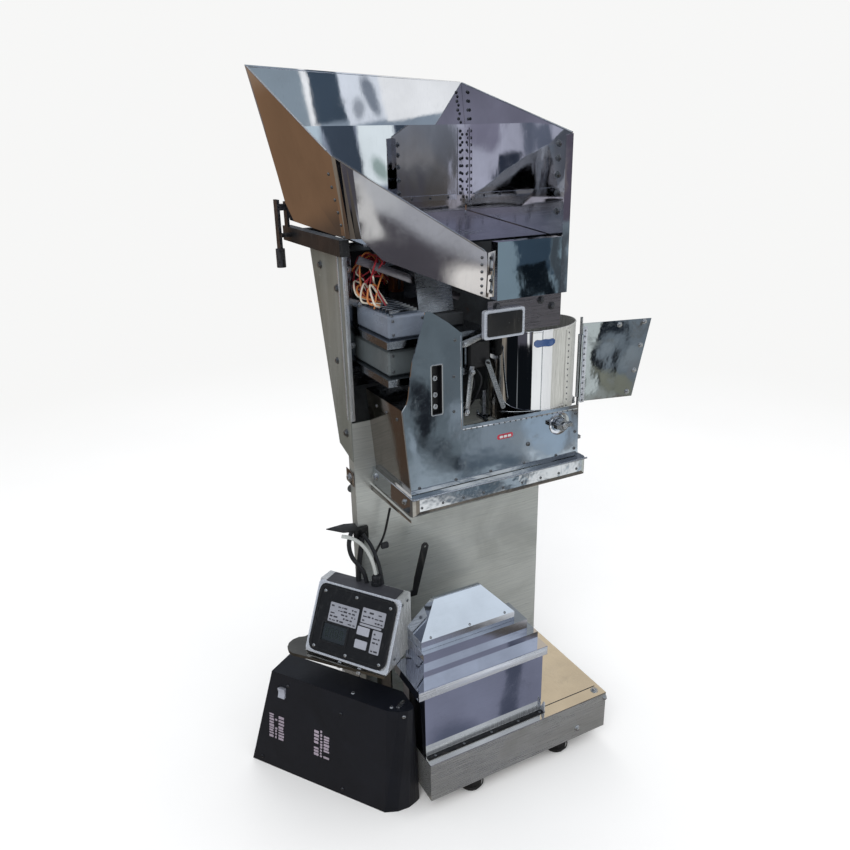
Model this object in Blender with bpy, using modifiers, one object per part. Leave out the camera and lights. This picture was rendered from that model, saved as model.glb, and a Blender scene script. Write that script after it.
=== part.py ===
# Vibratory weigh filler: the dosing head of a small vertical form, fill and seal line.
# Units are metres, +Z is up, +X is to the right and -Y is the operator's side.
# Coordinates are measured from the floor below the middle of the base. At the end everything
# moves along +X, so that the origin is below the middle of the whole machine.
import math
import bpy
import bmesh
from mathutils import Matrix, Vector

# ---------------------------------------------------------------- driving dimensions
ORIGIN_SHIFT = 0.0410
GAP = 0.0003                    # clearance left between parts that touch
SHEET = 0.002                   # stainless sheet

BASE_W, BASE_D = 0.400, 0.470
HALF_W, HALF_D = BASE_W / 2, BASE_D / 2
FOOT_H = 0.030
SKIRT_TOP = 0.110
BASE_TOP = SKIRT_TOP + GAP + SHEET

FRONT_Y = -0.151                # front face of the head's front plate
COL_L, COL_R = -0.222, 0.186    # the column plate's sides
COL_Y = -0.005                  # front face of the column plate
COL_TOP = 0.695

SHELF_L, SHELF_FRONT = -0.205, -0.128
LOW_SHELF_R, LOW_SHELF_REAR, LOW_SHELF_TOP = -0.060, 0.056, 0.8035
SHELF_REAR, SHELF_TOP = 0.094, 0.8655

DRIVE_BASE_TOP = 0.8880
SPRING_L, SPRING_R = -0.118, -0.052
SPRING_LEAN = math.radians(12)  # the springs lean back, so the pan throws forward and up
CORE_L, CORE_R = -0.106, -0.064
LOW_SLOT = (0.9080, 0.9140)     # heights of the two slots in the magnet core
HIGH_SLOT = (0.9340, 0.9400)
PAN_TILT = math.radians(4.6)    # down towards the front
PAN_REAR = (0.0, 0.176, 1.0270)
PAN_T = 0.003

RIM_BACK_Y = 0.197
RIGHT_X = 0.122                 # outer face of the hopper's right wall
RIGHT_INNER = RIGHT_X - SHEET - GAP
CREASE_Z = 1.186                # where the hopper's rear panel bends
RAIL_FRONT, RAIL_REAR = -0.046, 0.235
RAIL_Z0, RAIL_Z1 = 0.9900, 1.0160

BUCKET_X, BUCKET_Y = 0.095, -0.0815
BUCKET_A, BUCKET_B = 0.092, 0.0655      # half axes of the oval bucket
BUCKET_WALL = 0.0016
BUCKET_Z0, BUCKET_Z1 = 0.6950, 0.852
LUG_REAR = 0.0030
DOOR_T = 0.002
HINGE_Z = 0.6905
HINGE_OUT = 0.0045              # from the bucket's end to the door's hinge
CELL_Z0, CELL_Z1 = 0.7700, 0.7950
ARM_JOINT = (-0.0270, -0.1395, 0.8100)
SIDE_DOOR_X, SIDE_DOOR_Y = 0.1990, -0.1000      # hinge axis

PLINTH_L, PLINTH_R = -0.1970, 0.0560
PLINTH_FRONT, PLINTH_REAR = -0.2120, -0.1250
PLINTH_TOP = 0.2440
CAP_TOP = 0.3850

# the controller and the supply cabinet are turned towards the operator
TURN = math.radians(55.0)
ALONG = Vector((math.cos(TURN), -math.sin(TURN), 0.0))      # along their fronts, left to right
INWARD = Vector((math.sin(TURN), math.cos(TURN), 0.0))      # from their fronts to their backs
CABINET_X, CABINET_Y = -0.4500, 0.0600
CABINET_D, CABINET_H = 0.0900, 0.2050
CABINET_SETBACK = 0.032         # how far the front leans back over the height
BASE_CLEARANCE = 0.0035         # between the cabinet and the base
ROCKER_Z = 0.1685
CONTROL_X, CONTROL_Y = -0.3388, -0.0106
CONTROL_W, CONTROL_D = 0.1650, 0.0975
CONTROL_Z0, CONTROL_Z1 = 0.2649, 0.3849
CONTROL_LEAN = math.radians(28.4)
INSERT_GAP = 0.0004             # around the window and keys in the controller's panel

# finish: (base colour, roughness, metallic)
FINISHES = {
    "mirror": ((0.78, 0.79, 0.80), 0.06, 1.0),
    "brushed": ((0.62, 0.62, 0.60), 0.32, 1.0),
    "steel": ((0.55, 0.56, 0.57), 0.28, 1.0),
    "black_steel": ((0.03, 0.03, 0.032), 0.45, 0.6),
    "black_plastic": ((0.015, 0.015, 0.018), 0.38, 0.0),
    "rubber": ((0.02, 0.02, 0.02), 0.8, 0.0),
    "copper": ((0.72, 0.30, 0.12), 0.35, 1.0),
    "blue_grey": ((0.33, 0.38, 0.45), 0.45, 0.3),
    "green_grey": ((0.33, 0.36, 0.33), 0.5, 0.3),
    "red_wire": ((0.35, 0.03, 0.03), 0.5, 0.0),
    "white_cable": ((0.75, 0.76, 0.75), 0.45, 0.0),
    "casting": ((0.25, 0.26, 0.27), 0.5, 0.8),
    "display": ((0.03, 0.07, 0.05), 0.15, 0.0),
    "key": ((0.70, 0.72, 0.70), 0.5, 0.0),
}

# ---------------------------------------------------------------- frames
IDENTITY = Matrix.Identity(4)
XZ = Matrix(((1, 0, 0, 0), (0, 0, -1, 0), (0, 1, 0, 0), (0, 0, 0, 1)))  # x, y -> x, z; z -> -y
YZ = Matrix(((0, 0, 1, 0), (1, 0, 0, 0), (0, 1, 0, 0), (0, 0, 0, 1)))   # x, y -> y, z; z -> x
# plane: (world direction of its thickness, rotation)
PLANES = {
    'XY': (Vector((0, 0, 1)), IDENTITY),
    'XZ': (Vector((0, 1, 0)), XZ),
    'YZ': (Vector((1, 0, 0)), YZ),
}


def turned_frame(x, y):
    """A frame on the floor: local x along a turned front, y to its back, z up."""
    return Matrix(((ALONG.x, INWARD.x, 0, x), (ALONG.y, INWARD.y, 0, y),
                   (0, 0, 1, 0), (0, 0, 0, 1)))


# ---------------------------------------------------------------- a clean file
for old in list(bpy.data.objects):
    bpy.data.objects.remove(old, do_unlink=True)
for old in list(bpy.data.collections):
    bpy.data.collections.remove(old)

PARTS = bpy.data.collections.new("weigh_filler")
CUTTERS = bpy.data.collections.new("cutters")
bpy.context.scene.collection.children.link(PARTS)
bpy.context.scene.collection.children.link(CUTTERS)


# ---------------------------------------------------------------- builders
def material(name, kind):
    colour, roughness, metallic = FINISHES[kind]
    mat = bpy.data.materials.new(name + "_" + kind)
    mat.use_nodes = True
    shader = mat.node_tree.nodes["Principled BSDF"]
    shader.inputs["Base Color"].default_value = (*colour, 1.0)
    shader.inputs["Roughness"].default_value = roughness
    shader.inputs["Metallic"].default_value = metallic
    return mat


def smooth(ob, angle):
    ob.data.shade_smooth()
    ob.data.set_sharp_from_angle(angle=math.radians(angle))


def mesh_object(name, bm, kind=None, frame=IDENTITY):
    """An object from a bmesh: a part with a finish, or a hidden boolean helper without one."""
    mesh = bpy.data.meshes.new(name)
    bm.to_mesh(mesh)
    bm.free()
    ob = bpy.data.objects.new(name, mesh)
    ob.matrix_world = frame
    if kind:
        PARTS.objects.link(ob)
        mesh.materials.append(material(name, kind))
    else:
        CUTTERS.objects.link(ob)
        ob.hide_render = True
        ob.display_type = 'WIRE'
    return ob


def solidify(ob, name, thick, offset=-1.0):
    mod = ob.modifiers.new(name, 'SOLIDIFY')
    mod.thickness = thick
    mod.offset = offset
    mod.use_even_offset = True


def box(name, low, high, kind=None, bevel=0.0, bevel_segments=1, frame=IDENTITY,
        open_faces=(), wall=0.0):
    """A box; `open_faces` lists the directions left open, `wall` makes it a shell inwards."""
    low, high = Vector(low), Vector(high)
    middle, size = (low + high) / 2, high - low
    bm = bmesh.new()
    bmesh.ops.create_cube(bm, size=1.0, matrix=Matrix.Diagonal((*size, 1.0)))
    if open_faces:
        faces = [f for f in bm.faces if any(f.normal.dot(Vector(d)) > 0.9 for d in open_faces)]
        bmesh.ops.delete(bm, geom=faces, context='FACES')
    ob = mesh_object(name, bm, kind, frame @ Matrix.Translation(middle))
    if bevel:
        mod = ob.modifiers.new("edges", 'BEVEL')
        mod.width = bevel
        mod.segments = bevel_segments
    if wall:
        solidify(ob, "wall", wall)
    return ob


def cyl(name, radius, depth, centre, axis, kind=None, segments=20, top_radius=None):
    bm = bmesh.new()
    bmesh.ops.create_cone(bm, cap_ends=True, segments=segments, radius1=radius,
                          radius2=radius if top_radius is None else top_radius, depth=depth)
    turn = {'Z': IDENTITY,
            'X': Matrix.Rotation(math.pi / 2, 4, 'Y'),
            'Y': Matrix.Rotation(-math.pi / 2, 4, 'X')}[axis]
    ob = mesh_object(name, bm, kind, Matrix.Translation(centre) @ turn)
    if kind:
        smooth(ob, 40)
    return ob


def oval(cx, cy, a, b, count=36):
    angles = [2 * math.pi * i / count for i in range(count)]
    return [(cx + a * math.cos(t), cy + b * math.sin(t)) for t in angles]


def circle(cx, cy, radius, count):
    return oval(cx, cy, radius, radius, count)


def rounded(x0, y0, x1, y1, radius, steps):
    """A rectangle with rounded corners."""
    points = []
    for cx, cy, start in ((x1 - radius, y1 - radius, 0), (x0 + radius, y1 - radius, 90),
                          (x0 + radius, y0 + radius, 180), (x1 - radius, y0 + radius, 270)):
        for i in range(steps + 1):
            angle = math.radians(start + 90 * i / steps)
            points.append((cx + radius * math.cos(angle), cy + radius * math.sin(angle)))
    return points


def plate(name, outline, thick, plane, offset, kind=None, holes=()):
    """A flat plate from a 2D outline with holes, in a named plane or in a frame's local XY.

    `offset` is the lower coordinate of its thickness.
    """
    curve = bpy.data.curves.new(name, 'CURVE')
    curve.dimensions = '2D'
    curve.fill_mode = 'BOTH'
    curve.extrude = thick / 2
    for ring in (outline, *holes):
        spline = curve.splines.new('POLY')
        spline.points.add(len(ring) - 1)
        for point, (u, v) in zip(spline.points, ring):
            point.co = (u, v, 0.0, 1.0)
        spline.use_cyclic_u = True
    filled = bpy.data.objects.new(name + "_outline", curve)
    bpy.context.scene.collection.objects.link(filled)
    middle = offset + thick / 2
    if plane in PLANES.keys() if isinstance(plane, str) else False:
        direction, turn = PLANES[plane]
        filled.matrix_world = Matrix.Translation(direction * middle) @ turn
    else:
        filled.matrix_world = plane @ Matrix.Translation((0, 0, middle))
    bpy.context.view_layer.update()
    depsgraph = bpy.context.evaluated_depsgraph_get()
    mesh = bpy.data.meshes.new_from_object(filled.evaluated_get(depsgraph))
    bm = bmesh.new()
    bm.from_mesh(mesh)
    bmesh.ops.remove_doubles(bm, verts=bm.verts, dist=0.00001)
    bmesh.ops.recalc_face_normals(bm, faces=bm.faces)
    frame = filled.matrix_world.copy()
    bpy.data.meshes.remove(mesh)
    bpy.data.objects.remove(filled, do_unlink=True)
    bpy.data.curves.remove(curve)
    return mesh_object(name, bm, kind, frame)


def surface(verts, faces):
    bm = bmesh.new()
    made = [bm.verts.new(v) for v in verts]
    for face in faces:
        bm.faces.new([made[i] for i in face])
    bmesh.ops.recalc_face_normals(bm, faces=bm.faces)
    return bm


def sheet(name, verts, faces, thick, kind, offset=-1.0):
    """Folded sheet metal: an open surface thickened by Solidify."""
    ob = mesh_object(name, surface(verts, faces), kind)
    solidify(ob, "sheet", thick, offset)
    return ob


def fold(name, profile, axis, start, end, thick, kind, offset=-1.0):
    """A folded strip: an open profile pulled along X, Y or Z."""
    verts = []
    for a in (start, end):
        for u, v in profile:
            verts.append({'X': (a, u, v), 'Y': (u, a, v), 'Z': (u, v, a)}[axis])
    count = len(profile)
    faces = [(i, i + 1, count + i + 1, count + i) for i in range(count - 1)]
    return sheet(name, verts, faces, thick, kind, offset)


def boolean(ob, operation, helpers):
    for helper in helpers:
        mod = ob.modifiers.new(operation.lower() + "_" + helper.name, 'BOOLEAN')
        mod.operation = operation
        mod.solver = 'EXACT'
        mod.object = helper


def cut(ob, *helpers):
    boolean(ob, 'DIFFERENCE', helpers)


def join(ob, *helpers):
    boolean(ob, 'UNION', helpers)


def tube(name, points, radius, kind):
    curve = bpy.data.curves.new(name, 'CURVE')
    curve.dimensions = '3D'
    curve.bevel_depth = radius
    curve.bevel_resolution = 2
    curve.use_fill_caps = True
    spline = curve.splines.new('POLY')
    spline.points.add(len(points) - 1)
    for point, place in zip(spline.points, points):
        point.co = (*place, 1.0)
    curve.materials.append(material(name, kind))
    PARTS.objects.link(bpy.data.objects.new(name, curve))


def quadratic(p0, p1, p2, t):
    return tuple((1 - t) ** 2 * a + 2 * t * (1 - t) * b + t * t * c
                 for a, b, c in zip(p0, p1, p2))


def cubic(p0, p1, p2, p3, t):
    return tuple((1 - t) ** 3 * a + 3 * (1 - t) ** 2 * t * b + 3 * (1 - t) * t * t * c + t ** 3 * d
                 for a, b, c, d in zip(p0, p1, p2, p3))


def pivot(ob, joint):
    """Put a moving piece's origin on its joint without moving its shape."""
    local = ob.matrix_world.inverted() @ Vector(joint)
    ob.data.transform(Matrix.Translation(-local))
    ob.matrix_world = ob.matrix_world @ Matrix.Translation(local)


# ================================================================ base and column
def base_skirt():
    """Four walls with a rim turned inwards at the bottom, open on top."""
    rim = 0.060
    bm = bmesh.new()
    bmesh.ops.create_cube(bm, size=1.0,
                          matrix=Matrix.Diagonal((BASE_W, BASE_D, SKIRT_TOP - FOOT_H, 1.0)))
    top = [f for f in bm.faces if f.normal.z > 0.9]
    bmesh.ops.delete(bm, geom=top, context='FACES')
    floor = [f for f in bm.faces if f.normal.z < -0.9]
    bmesh.ops.inset_region(bm, faces=floor, thickness=rim, use_even_offset=True)
    bmesh.ops.delete(bm, geom=floor, context='FACES')
    middle = Matrix.Translation((0, 0, (SKIRT_TOP + FOOT_H) / 2))
    skirt = mesh_object("base_skirt", bm, "brushed", middle)
    solidify(skirt, "sheet", SHEET)


def base_top_plate():
    outline = [(-HALF_W, -HALF_D), (HALF_W, -HALF_D), (HALF_W, HALF_D), (-HALF_W, HALF_D)]
    plate("base_top_plate", outline, SHEET, 'XY', SKIRT_TOP + GAP, "mirror")


def feet():
    height = FOOT_H - GAP
    for row, x, y in (("front", 0.100, -0.207), ("rear", 0.170, 0.207)):
        for side, sign in (("left", -1), ("right", 1)):
            cyl("foot_%s_%s" % (row, side), 0.020, height, (x * sign, y, height / 2), 'Z',
                "rubber", 16, top_radius=0.0235)


def column_plate():
    """The plate, folded back at both sides, with the post welded to its back."""
    edge_y = 0.020
    column = fold("column_plate",
                  [(COL_L, edge_y), (COL_L, COL_Y), (COL_R, COL_Y), (COL_R, edge_y)],
                  'Z', BASE_TOP + GAP, COL_TOP, SHEET, "brushed")
    join(column, box("post_cut", (-0.040, COL_Y + SHEET - 0.0005, BASE_TOP + GAP + 0.001),
                     (0.010, 0.0450, COL_TOP - 0.010)))


# ================================================================ rear housing
def housing_sides():
    outline = [(COL_Y, 0.622), (0.055, 0.640), (0.145, 0.990), (COL_Y, 0.998)]    # y, z
    plate("housing_left_side", outline, SHEET, 'YZ', COL_L - GAP - SHEET, "mirror")
    plate("housing_right_side", outline, SHEET, 'YZ', COL_R + GAP, "mirror")


def rear_cover():
    """The sloping cover with five vent slots."""
    low_y, low_z = 0.0545, 0.6415
    vent_line_y, vent_line_z = 0.1440, 0.9895       # upper end of the line the slots follow
    cover = fold("rear_cover",
                 [(0.0505, low_z), (low_y, low_z), (0.1430, 0.9855), (0.1300, 0.9885)],
                 'X', COL_L + GAP, COL_R - GAP, SHEET, "steel")
    for i in range(5):
        z = 0.72 + 0.035 * i
        y = low_y + (z - low_z) * (vent_line_y - low_y) / (vent_line_z - low_z)
        cut(cover, box("vent_cut_%d" % i, (-0.09, y - 0.02, z - 0.004),
                       (0.06, y + 0.02, z + 0.004)))


def cross_beam():
    box("cross_beam", (COL_L + GAP, 0.0180, 0.755), (COL_R - GAP, 0.0400, 0.7905), "steel",
        open_faces=((1, 0, 0), (-1, 0, 0)), wall=SHEET)


def shelf_frame():
    """One welded frame: two shelves and the struts between them."""
    frame = box("shelf_frame", (SHELF_L, SHELF_FRONT, SHELF_TOP - 0.012),
                (-0.020, SHELF_REAR, SHELF_TOP), "steel", open_faces=((0, 0, -1),), wall=SHEET)
    join(frame,
         box("shelf_low_cut", (SHELF_L, SHELF_FRONT, LOW_SHELF_TOP - 0.012),
             (LOW_SHELF_R, LOW_SHELF_REAR, LOW_SHELF_TOP)),
         box("strut_a_cut", (-0.0640, -0.1270, 0.8030), (-0.0610, -0.110, 0.8645)),
         box("strut_b_cut", (-0.0640, 0.0380, 0.8030), (-0.0610, 0.0550, 0.8645)))
    cut(frame,
        box("shelf_low_hollow_cut", (SHELF_L + SHEET, SHELF_FRONT + SHEET, 0.78),
            (LOW_SHELF_R - SHEET, LOW_SHELF_REAR - SHEET, LOW_SHELF_TOP - SHEET)))


def shelf_boxes():
    box("driver_box", (-0.196, -0.116, SHELF_TOP + GAP), (-0.128, 0.010, 0.9020),
        "blue_grey", bevel=0.003)
    box("supply_box", (-0.196, -0.112, LOW_SHELF_TOP + GAP), (-0.126, 0.040, 0.8460),
        "green_grey", bevel=0.003)


# ================================================================ vibratory drive
def drive_base():
    box("drive_base", (-0.126, -0.085, SHELF_TOP + GAP), (-0.040, SHELF_REAR, DRIVE_BASE_TOP),
        "casting", bevel=0.002)


def magnet():
    """The slotted core, and the coil around its middle limb."""
    core = box("magnet_core", (CORE_L, 0.030, DRIVE_BASE_TOP + GAP), (CORE_R, 0.070, 0.9500),
               "casting")
    for name, (low, high) in (("core_slot_cut", LOW_SLOT), ("core_slot_cut_top", HIGH_SLOT)):
        cut(core, box(name, (-0.120, 0.020, low), (-0.050, 0.0585, high)))
    coil = box("magnet_coil", (-0.116, 0.0330, LOW_SLOT[0] + GAP),
               (-0.054, 0.0555, HIGH_SLOT[1] - GAP), "copper", bevel=0.003, bevel_segments=2)
    cut(coil, box("coil_cut", (CORE_L - GAP, 0.020, LOW_SLOT[1] - GAP),
                  (CORE_R + GAP, 0.066, HIGH_SLOT[0] + GAP)))


def leaf_springs():
    for name, y in (("front", -0.070), ("rear", 0.078)):
        lean = (Matrix.Translation((0, y, DRIVE_BASE_TOP + GAP))
                @ Matrix.Rotation(-SPRING_LEAN, 4, 'X'))
        box("leaf_spring_" + name, (SPRING_L, -0.0010, 0.0010), (SPRING_R, 0.0010, 0.0860),
            "steel", frame=lean)


def feed_pan():
    """The pan that carries the product forward, with its lugs and armature.

    The armature is welded under the pan and hangs in front of the magnet.
    """
    length, left_length = 0.272, 0.234
    frame = Matrix.Translation(PAN_REAR) @ Matrix.Rotation(PAN_TILT, 4, 'X')
    outline = [(-0.219, 0.0), (0.1165, 0.0), (0.1165, -length), (-0.040, -length),
               (-0.206, -left_length)]
    pan = plate("feed_pan", outline, PAN_T, frame, -PAN_T, "mirror")
    left, right, low = SPRING_L + 0.004, SPRING_R - 0.004, 0.9746
    join(pan,
         box("pan_lug_front_cut", (left, -0.0610, low), (right, -0.0430, 1.0060)),
         box("pan_lug_rear_cut", (left, 0.0870, low), (right, 0.1050, 1.0180)),
         box("armature_cut", (-0.104, 0.0140, 0.9000), (-0.066, 0.0270, 1.0120)))
    pivot(pan, (0.0, 0.0, 1.0100))


# ================================================================ hopper
def hopper_rear_panel():
    crease_y, foot = 0.1835, (0.183, 1.036)
    verts = [(-0.297, RIM_BACK_Y, 1.283), (RIGHT_INNER, RIM_BACK_Y, 1.260),
             (RIGHT_INNER, crease_y, CREASE_Z), (RIGHT_INNER, *foot),
             (-0.244, *foot), (-0.278, crease_y, CREASE_Z)]
    sheet("hopper_rear_panel", verts, [(0, 1, 2, 5), (5, 2, 3, 4)], SHEET, "mirror", offset=0.0)


def on_front(x, z):
    """The point of the hopper's sloping front wall at x, z."""
    return (x, -0.1500 - 0.3247 * (x + 0.037) - 0.0325 * (z - 0.993), z)


def hopper_left_panel():
    """The left wall, its rounded corner and the front wall, one bent sheet."""
    steps = 4
    # the corner's curves at rim and foot: left wall's end, control point, front wall's end
    rim = ((-0.262, -0.083, 1.141), (-0.252, -0.0865, 1.1345), on_front(-0.232, 1.122))
    foot = ((-0.235, -0.040, 1.019), (-0.2385, -0.0780, 1.0200), on_front(-0.2235, 1.021))
    verts = [(-0.2965, RIM_BACK_Y - 0.0035, 1.2810), (-0.2778, 0.1800, CREASE_Z),
             (-0.2455, 0.1795, 1.030)]
    for i in range(steps + 1):
        verts.append(quadratic(*rim, i / steps))
        verts.append(quadratic(*foot, i / steps))
    faces = [(0, 1, 3), (1, 2, 4, 3)]
    for i in range(steps):
        a = 3 + 2 * i
        faces.append((a, a + 1, a + 3, a + 2))
    count = len(verts)
    verts += [on_front(-0.194, 0.988), on_front(-0.031, 0.918), on_front(-0.037, 0.993)]
    faces.append(tuple(range(count - 2, count + 3)))
    sheet("hopper_left_panel", verts, faces, 0.0015, "mirror")


def hopper_right_panel():
    """The right wall with its front flange."""
    low, flange_x = 0.914, RIGHT_X - 0.014
    verts = [(RIGHT_X, FRONT_Y, low), (RIGHT_X, FRONT_Y, 1.165),
             (RIGHT_X, RIM_BACK_Y, 1.2605), (RIGHT_X, RIM_BACK_Y, 1.018),
             (RIGHT_X, 0.060, 1.004), (RIGHT_X, -0.030, low),
             (flange_x, FRONT_Y, low), (flange_x, FRONT_Y, 1.163)]
    sheet("hopper_right_panel", verts, [(0, 5, 4, 3, 2, 1), (0, 1, 7, 6)], SHEET, "mirror")


def hopper_corner_angle():
    wall_x = RIGHT_X - SHEET
    profile = [(wall_x - 0.0165, 0.1800), (wall_x - 0.0023, 0.1800), (wall_x - 0.0023, 0.1655)]
    fold("hopper_corner_angle", profile, 'Z', 1.040, 1.180, 0.0015, "mirror", offset=1.0)


def hopper_frame():
    """One welded frame: a rail on each side, the tie behind, the clamp's stub and an ear."""
    rails = box("hopper_frame", (-0.2425, RAIL_FRONT, RAIL_Z0), (-0.2260, RAIL_REAR, RAIL_Z1),
                "black_steel")
    join(rails,
         box("rail_right_cut", (RIGHT_X + GAP, RAIL_FRONT, RAIL_Z0),
             (RIGHT_X + 0.016, RAIL_REAR, RAIL_Z1)),
         box("rail_tie_cut", (-0.2300, 0.2010, 0.9930), (RIGHT_X + 0.004, 0.2150, 1.0110)),
         cyl("clamp_stub_cut", 0.0040, 0.0200, (-0.2500, 0.1920, 1.0030), 'X', segments=14),
         box("rail_ear_cut", (-0.2425, 0.2040, 1.0150), (-0.2385, 0.2220, 1.0600)))


def clamp_lever():
    """The lever that holds the hopper on its rail."""
    y = 0.2130
    lever = box("clamp_lever", (-0.2600, y - 0.0100, 0.9580), (-0.2550, y + 0.0100, 1.0640),
                "steel")
    join(lever,
         box("lever_stub_cut", (-0.2560, y - 0.0070, 1.0450), (-0.2430, y + 0.0070, 1.0560)),
         cyl("lever_grip_cut", 0.0085, 0.034, (-0.2575, y, 0.9600), 'Z', segments=14))
    pivot(lever, (-0.2500, y, 1.0505))


# ================================================================ head, front side
def front_plate():
    """The plate with the grip's opening; its right edge folds back as a low side wall."""
    outline = [     # x, z
        (-0.1810, 0.6070), (-0.1935, 0.7560), (-0.1860, 0.7660), (-0.1825, 0.7760),
        (-0.1780, 0.8070), (-0.1735, 0.8350), (-0.1640, 0.8620), (-0.1550, 0.8900),
        (-0.1490, 0.9110), (-0.1400, 0.9110), (-0.1090, 0.8905), (-0.0830, 0.8690),
        (-0.0815, 0.7110), (0.1600, 0.7060), (0.1640, 0.6070)]
    left, low, right, high = -0.1400, 0.7400, -0.1200, 0.8240       # the grip's opening
    front = plate("front_plate", outline, SHEET, 'XZ', FRONT_Y, "mirror",
                  holes=[rounded(left, low, right, high, 0.0004, 1)])
    join(front, box("right_return_cut", (0.1600, FRONT_Y + 0.0010, 0.6071),
                    (0.1620, COL_Y - GAP, 0.6400)))
    play = 0.0005
    box("grip_cup", (left + play, FRONT_Y + 0.0002, low + play),
        (right - play, FRONT_Y + 0.0120, high - play), "black_steel",
        open_faces=((0, -1, 0),), wall=0.0012)


def left_lower_wall():
    fold("left_lower_wall", [(-0.1800, 0.6063), (-0.1925, 0.7560), (-0.1430, 0.7600)], 'Y',
         FRONT_Y + SHEET + GAP, COL_Y - GAP, SHEET, "mirror")


def bottom_tray():
    """The tray with its rounded front lip and the discharge opening."""
    x0, y0, z0 = -0.187, -0.168, 0.5700
    x1, y1, z1 = 0.173, COL_Y - GAP, 0.6060
    bm = bmesh.new()
    bmesh.ops.create_cube(
        bm, size=1.0,
        matrix=Matrix.Translation(((x0 + x1) / 2, (y0 + y1) / 2, (z0 + z1) / 2))
        @ Matrix.Diagonal((x1 - x0, y1 - y0, z1 - z0, 1.0)))
    low = [e for e in bm.edges if all(v.co.z < 0.58 and v.co.y < -0.1 for v in e.verts)]
    upright = [e for e in bm.edges
               if abs(e.verts[0].co.z - e.verts[1].co.z) > 0.01 and e.verts[0].co.y < -0.1]
    bmesh.ops.bevel(bm, geom=low + upright, offset=0.012, segments=3, affect='EDGES',
                    profile=0.5)
    tray = mesh_object("bottom_tray", bm, "mirror")
    cut(tray,
        box("tray_hollow_cut", (x0 + 0.006, y0 + 0.010, z0 + 0.004),
            (x1 - 0.006, y1 - 0.004, z1 - 0.002)),
        box("tray_mouth_cut", (x0 + 0.020, y0 + 0.032, z0 + 0.010),
            (x1 - 0.020, y1 - 0.018, z1 + 0.010)),
        box("discharge_cut", (-0.010, -0.140, z0 - 0.01), (0.150, -0.030, z0 + 0.02)))


def chute_parts():
    """The cover between the pan and the bucket, the plate under it and the slotted bracket."""
    box("chute_cover", (-0.0180, FRONT_Y - 0.0010, 0.9145), (0.1070, FRONT_Y + 0.0180, 1.0070),
        "mirror", open_faces=((0, 1, 0),), wall=0.0015)
    fold("under_plate", [(-0.0280, -0.1400), (0.1190, -0.1400), (0.1190, 0.0150)], 'Z',
         0.8560, 0.9120, SHEET, "brushed")
    plate("slot_bracket", rounded(-0.0400, 0.8510, 0.0390, 0.8990, 0.004, 2), 0.008, 'XZ',
          -0.1486, "key", holes=[rounded(-0.0310, 0.8610, 0.0300, 0.8880, 0.003, 2)])


def latch_knob():
    """The winged knob on the lower right of the front plate."""
    x, z = 0.1180, 0.6780
    knob = cyl("latch_knob", 0.0105, 0.0140, (x, FRONT_Y - 0.0075, z), 'Y', "mirror")
    join(knob, box("knob_wing_cut", (x - 0.0175, FRONT_Y - 0.0170, z - 0.0035),
                   (x + 0.0175, FRONT_Y - 0.0080, z + 0.0035)))
    pivot(knob, (x, FRONT_Y, z))


# ================================================================ weighing
def bucket_oval(inset=0.0):
    return oval(BUCKET_X, BUCKET_Y, BUCKET_A - inset, BUCKET_B - inset)


def weigh_bucket():
    """The open oval tube with the lug behind it."""
    bucket = plate("weigh_bucket", bucket_oval(), BUCKET_Z1 - BUCKET_Z0, 'XY', BUCKET_Z0,
                   "mirror", holes=[bucket_oval(BUCKET_WALL)])
    smooth(bucket, 30)
    join(bucket, box("bucket_lug_cut", (0.060, BUCKET_Y + BUCKET_B - 0.0012, CELL_Z0),
                     (0.130, LUG_REAR, 0.8000)))


def load_cell():
    cell = box("load_cell", (0.0500, LUG_REAR + GAP, CELL_Z0), (0.1400, 0.0177, CELL_Z1),
               "steel")
    for name, x in (("cell_hole_cut", 0.0880), ("cell_hole_cut_b", 0.1020)):
        cut(cell, cyl(name, 0.0075, 0.06, (x, 0.010, (CELL_Z0 + CELL_Z1) / 2), 'Y',
                      segments=16))


def half_oval(side):
    """Half of the bucket's bottom, left for side -1 and right for side 1."""
    half = [p for p in bucket_oval(0.001) if side * (p[0] - BUCKET_X) > 0.002]
    half.sort(key=lambda p: math.atan2(p[1] - BUCKET_Y, side * (p[0] - BUCKET_X)))
    x = BUCKET_X + side * 0.0004
    half = [(x, half[0][1] - 0.0006)] + half + [(x, half[-1][1] + 0.0006)]
    return half[::-1] if side < 0 else half


def bucket_door(name, side):
    """A half door that closes the bucket's bottom, with its hinge tongue and knuckle."""
    hinge_x = BUCKET_X + side * (BUCKET_A + HINGE_OUT)
    half_knuckle = 0.012
    top = BUCKET_Z0 - GAP
    front, rear = BUCKET_Y - half_knuckle, BUCKET_Y + half_knuckle
    door = plate("bucket_door_" + name, half_oval(side), DOOR_T, 'XY', top - DOOR_T, "mirror")
    left, right = sorted((hinge_x - 0.0040 * side, hinge_x - 0.016 * side))
    join(door,
         box("tongue_%s_cut" % name, (left, front, top - DOOR_T), (right, rear, top)),
         plate("knuckle_%s_cut" % name, circle(hinge_x, HINGE_Z, 0.0048, 14),
               2 * half_knuckle, 'XZ', front, holes=[circle(hinge_x, HINGE_Z, 0.0025, 14)]))
    pivot(door, (hinge_x, BUCKET_Y, HINGE_Z))

    pin = cyl("door_pin_" + name, 0.0022, 0.036, (hinge_x, BUCKET_Y, HINGE_Z), 'Y', "steel", 12)
    for k, y in enumerate((BUCKET_Y - 0.0165, BUCKET_Y + 0.0140)):
        join(pin, box("ear_%s_%d_cut" % (name, k), (hinge_x - 0.002, y, HINGE_Z - 0.003),
                      (hinge_x + 0.002, y + 0.0025, 0.7000)))


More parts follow.
